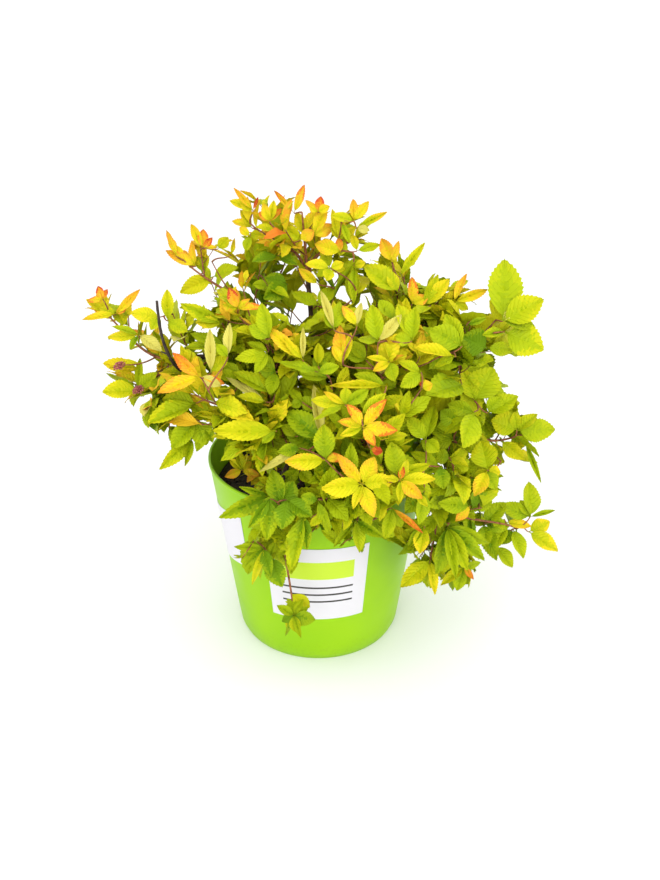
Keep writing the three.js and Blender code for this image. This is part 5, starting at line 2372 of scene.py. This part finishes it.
    def _lay_blade(
        self, foot: Vector, tip: Vector, wide: float, tint: Tint, blush: int, dice: Dice
    ) -> None:
        """Lays one leaf of a posy and keeps the view to it free.

        Args:
            foot: The posy's foot.
            tip: The leaf's tip.
            wide: The leaf's width on the sheet.
            tint: Its tint.
            blush: How many steps riper its edge is.
            dice: What its numbers come from.
        """
        along = (tip - foot).normalized()
        roll = math.radians(dice.between(-self.posy_roll, self.posy_roll))
        facing = turned(across(self.posy_normal, along), along, roll)
        width = wide / VIEW.focal * (tip - Vector(VIEW.eye)).length / math.cos(roll)
        tints = {
            Zone.HEART: tint.ripened(-1), Zone.BODY: tint, Zone.EDGE: tint.ripened(blush),
        }
        leaf = Leaf(foot, along, facing, (tip - foot).length, width, tints, laid=True)
        if self._in_the_way(leaf):
            LOG.info("a leaf laid at %s is in the way", [round(c / MM) for c in foot])
        self.leaves.append(leaf)
        self.front.keep(leaf)

    def _leaf_nodes(self, shoot: Shoot) -> list[Pair]:
        """Where a shoot's leaves stand.

        Args:
            shoot: The shoot.

        Returns:
            For each, the share of the shoot and how far it is into the tip's tuft.
        """
        length = shoot.limb.curve.length
        tuft = self.bud_tuft if shoot.leaf is LeafKind.BUD else self.tuft
        start = length - (tuft + 0.5) * self.tuft_spacing
        at = max(length * shoot.bare, 4 * MM)
        nodes = []
        while at < start:
            nodes.append((at / length, 0.0))
            at += ORDERS[shoot.order].spacing
        for i in range(tuft):
            at = length - 0.4 * MM - (tuft - 1 - i) * self.tuft_spacing
            nodes.append((at / length, (i + 1) / tuft))
        return nodes

    def _in_the_way(self, leaf: Leaf) -> bool:
        """Whether a leaf would cut the pot's wall or the compost.

        Args:
            leaf: The leaf.

        Returns:
            Whether it would.
        """
        rim = self.pot.height + self.over_rim
        for point in leaf.points():
            if point.z < self.over_ground:
                return True
            if point.z > rim:
                continue
            reach = point.xy.length
            wall = self.pot.wall_radius(point.z)
            if wall - self.pot.wall - self.clearance < reach < wall + self.clearance:
                return True
            if reach < wall and point.z < self.compost_top + self.over_ground:
                return True
        inside = leaf.root.xy.length < self.pot.rim_radius and leaf.root.z < rim
        tip = leaf.points()[-1]
        return inside and tip.xy.length > self.pot.rim_radius and tip.z < rim

    def _tints(self, shoot: Shoot, root: Vector, tuft: float, dice: Dice) -> dict[Zone, Tint]:
        """The tints of a leaf: fresh at a shoot's tip; inside the crown greener, with painted light.

        Args:
            shoot: The shoot that it stands on.
            root: Where it starts.
            tuft: How far it is into the tip's tuft, from 0 to 1.
            dice: What its numbers come from.

        Returns:
            The tint of each zone.
        """
        away = root - HEART
        reach = math.hypot(away.x, away.y, away.z * self.crown_flat)
        depth = 1 - min(reach / self.crown_radius, 1.0)
        turned_share = (root.z - self.ripe_from) / self.ripe_over
        turned_share = min(max(turned_share, self.least_ripe), 1.0)
        if shoot.leaf is LeafKind.BUD:
            turned_share = 1.0
        draw, ripe, heart, edge = (dice.roll() for _ in range(4))
        mood = shoot.mood
        # Deep in the crown a leaf may take the inner set of tints: painted light, lighter tints in
        # place of light through the leaves.
        if tuft > self.fresh_from or (shoot.order == 2 and draw > self.fresh_twiglet):
            choices = FRESH[mood]
        elif draw < depth * self.painted_light_share:
            choices = INNER_PAINTED_LIGHT
        else:
            choices = GROWN[mood if ripe < turned_share else Mood.LIME]
        body = dice.pick(choices)
        if ripe > turned_share + self.unripe_from[0] and tuft < self.unripe_from[1]:
            body = body.ripened(-1)
        warm = mood in (Mood.AMBER, Mood.GOLD) and body not in (Tint.AMBER, Tint.ORANGE)
        return {
            Zone.HEART: body.ripened(-1) if heart < self.heart_share else body,
            Zone.BODY: body,
            Zone.EDGE: body.ripened(1) if edge < self.edge_shares[warm] else body,
        }

    def _leaf_out(self, shoot: Shoot, dice: Dice) -> None:
        """Sets the leaves along a shoot.

        Args:
            shoot: The shoot.
            dice: What their numbers come from.
        """
        turn = dice.roll() * 360
        for share, tuft in self._leaf_nodes(shoot):
            turn += RULE.divergence + (dice.roll() - 0.5) * self.turn_spread
            size = ORDERS[shoot.order].leaf_scale * dice.between(*self.size_draw)
            self._set_leaf(shoot, share, tuft, turn, size * (1 - self.tip_shrink * tuft), dice)

    def _set_leaf(
        self, shoot: Shoot, share: float, tuft: float, turn: float, size: float, dice: Dice
    ) -> None:
        """Sets one leaf, turned until it is in nothing's way, or leaves it out.

        Args:
            shoot: The shoot that it stands on.
            share: Where along the shoot.
            tuft: How far it is into the tip's tuft, from 0 to 1.
            turn: Degrees about the shoot.
            size: Its size, as a share of a full-grown leaf's.
            dice: What its numbers come from.
        """
        root, onward = shoot.limb.along(share)
        level = sideways(onward)
        closed = self.bud_closed if shoot.leaf is LeafKind.BUD else self.stalk_closed
        spread = lerp(self.stalk_open, closed, tuft) + dice.between(*self.stalk_draw)
        spread = math.radians(spread)
        tilt = math.radians(dice.between(-0.5, 0.5) * self.tilt)
        tints = self._tints(shoot, root, tuft, dice)
        lean = (root - HEART).normalized()
        light = UP + lean * self.light_lean
        length = shoot.leaf.length * size
        width = length * shoot.leaf.broad * dice.between(*self.broad_draw)
        for lift in (self.lifts[0] - RULE.droop * shoot.hang, *self.lifts[1:]):
            for nudge in self.nudges:
                outward = turned(level, onward, math.radians(turn + nudge))
                along = onward * math.cos(spread) + outward * math.sin(spread)
                along = (along + UP * lift + lean * self.outward_lean).normalized()
                facing = turned(across(light, along), along, tilt)
                leaf = Leaf(root, along, facing, length, width, tints)
                if not self._in_the_way(leaf) and self.front.allows(leaf.points()):
                    self.leaves.append(leaf)
                    shoot.bears_at(share)
                    return

    def build_twigs(self) -> None:
        """Makes all the stems, side shoots and twiglets one piece."""
        pile = Pile()
        for shoot in (shoot for shoots in self.shoots for shoot in shoots):
            order = ORDERS[shoot.order]
            shares = np.linspace(0.0, shoot.reach, order.rings + 1).tolist()
            path = shoot.path_start + [shoot.limb.curve.point(share) for share in shares]
            pile.add_tube(path, shoot.limb.radii(len(path)), order.sides)
        for limb in self.posy_stems + self.heads:
            pile.add_tube(limb.curve.line(9), limb.radii(10), 6)
        finish = BarkFinish("young bark", srgb(108, 58, 34), srgb(164, 104, 56), 380.0, 0.35)
        nodes = (spray.node for spray in SPRAYS)
        finished(pile.piece("young_twigs"), finish.material(), "bark", *nodes)

    def build_leaves(self) -> None:
        """Makes one piece of leaves for each tint; a laid leaf is flatter and has a finer mesh."""
        shapes = [LeafShape(curl, seed) for seed in (1, 2) for curl in CURLS]
        curls = [curl for curl in CURLS if curl.arch < self.flat_arch]
        flat = [LeafShape(curl, seed, *LeafShape.FINE_GRID) for seed in (3, 4) for curl in curls]
        piles = {tint: Pile() for tint in Tint}
        for i, leaf in enumerate(self.leaves):
            choices = flat if leaf.laid else shapes
            leaf.lay(choices[(i * 5 + i // 7) % len(choices)], piles)
        for tint, pile in piles.items():
            if pile.count:
                piece = pile.piece(f"leaves_{tint.value.name}", mapped=True)
                finished(piece, tint.value.material(), tint.value.slot)

    def build_heads(self) -> None:
        """Makes the dry, flat-topped flower heads."""
        dice = Dice(RULE.head_seed)
        pile = Pile()
        for stalk in self.heads:
            foot, onward = stalk.curve.point(1.0), stalk.onward
            aside = sideways(onward)
            for i in range(self.head_beads):
                reach = math.sqrt((i + 0.5) / self.head_beads) * self.head_radius
                dome = 1 - (reach / self.head_radius) ** 2
                rise = self.head_rise * dome + dice.between(0, 0.6) * MM
                out = turned(aside, onward, i * math.radians(RULE.divergence))
                at = foot + out * reach + onward * (rise + self.head_lift)
                pile.add_ball(dice.between(*self.bead_mm) * MM, Matrix.Translation(at))
                pile.add_tube([foot - onward * MM, at], list(self.head_stalk), 4)
        finish = BarkFinish("dry blossom", srgb(120, 44, 48), srgb(196, 112, 104), 900.0, 0.4)
        finished(pile.piece("dry_flower_heads"), finish.material(), "foliage_amber")


# ---- the studio


@dataclass
class Studio:
    """A white floor, soft light and the camera."""

    lens: float = 38.05
    floor_size: float = 90.0
    sky_strength: float = 1.28

    def build(self) -> None:
        """Sets up the floor, the sky, the lamps and the camera."""
        self._floor()
        self._sky()
        self._lamp("key", (0.75, -0.6, 1.25), size=0.9, power=2.5)
        self._lamp("fill", (-0.1, -1.35, 0.95), size=1.2, power=10.0)
        self._camera()

    def _floor(self) -> None:
        """Lays the floor."""
        bm = bmesh.new()
        bmesh.ops.create_grid(bm, x_segments=1, y_segments=1, size=self.floor_size / 2)
        floor = piece_from(bm, "floor", smooth=False)
        white = opaque((0.86, 0.86, 0.86))
        skin = Skin("white floor")
        material = skin.shaded(Base_Color=white, Roughness=0.9, Specular_IOR_Level=0.1)
        floor.data.materials.append(material)

    def _sky(self) -> None:
        """Lights the scene evenly from all round."""
        world = bpy.data.worlds.new("studio")
        world.use_nodes = True
        ground = world.node_tree.nodes["Background"]
        ground.inputs["Color"].default_value = opaque((1.0, 1.0, 1.0))
        ground.inputs["Strength"].default_value = self.sky_strength
        bpy.context.scene.world = world
        bpy.context.scene.view_settings.view_transform = "Standard"

    def _lamp(self, name: str, at: Place, size: float, power: float) -> None:
        """Hangs a soft lamp that points at the crown.

        Args:
            name: Its name.
            at: Where it hangs.
            size: How wide it is.
            power: Its power in watts.
        """
        lamp = bpy.data.lights.new(name, "AREA")
        lamp.size = size
        lamp.energy = power
        stand = linked(name, lamp)
        stand.location = at
        stand.rotation_euler = (Vector(at) - HEART).to_track_quat("Z", "Y").to_euler()

    def _camera(self) -> None:
        """Sets the camera."""
        camera = bpy.data.cameras.new("camera")
        camera.lens = self.lens
        camera.sensor_width = 36.0
        stand = linked("camera", camera)
        stand.location = VIEW.eye
        stand.rotation_euler = (math.radians(VIEW.pitch), 0.0, 0.0)
        bpy.context.scene.camera = stand


def main() -> None:
    """Builds the whole scene, part by part."""
    logging.basicConfig(level=logging.INFO, format="%(name)s %(message)s")
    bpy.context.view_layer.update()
    Studio().build()
    pot = NurseryPot()
    pot.build()
    Tag(pot, "front_tag", "front_label", 270, TagDesign.RULED).build()
    Tag(
        pot, "side_tag", "side_label", 197.5, TagDesign.BLANK,
        bottom=79 * MM, top=131 * MM, rise=21 * MM,
    ).build()
    Compost(pot).build()
    wood = WoodyFrame()
    wood.grow()
    wood.build()
    wood.build_stub(StubPlan())
    foliage = Foliage(wood, pot)
    foliage.grow()
    foliage.build_twigs()
    foliage.build_leaves()
    foliage.build_heads()
    LOG.info("%d leaves", len(foliage.leaves))


if __name__ == "__main__":
    main()
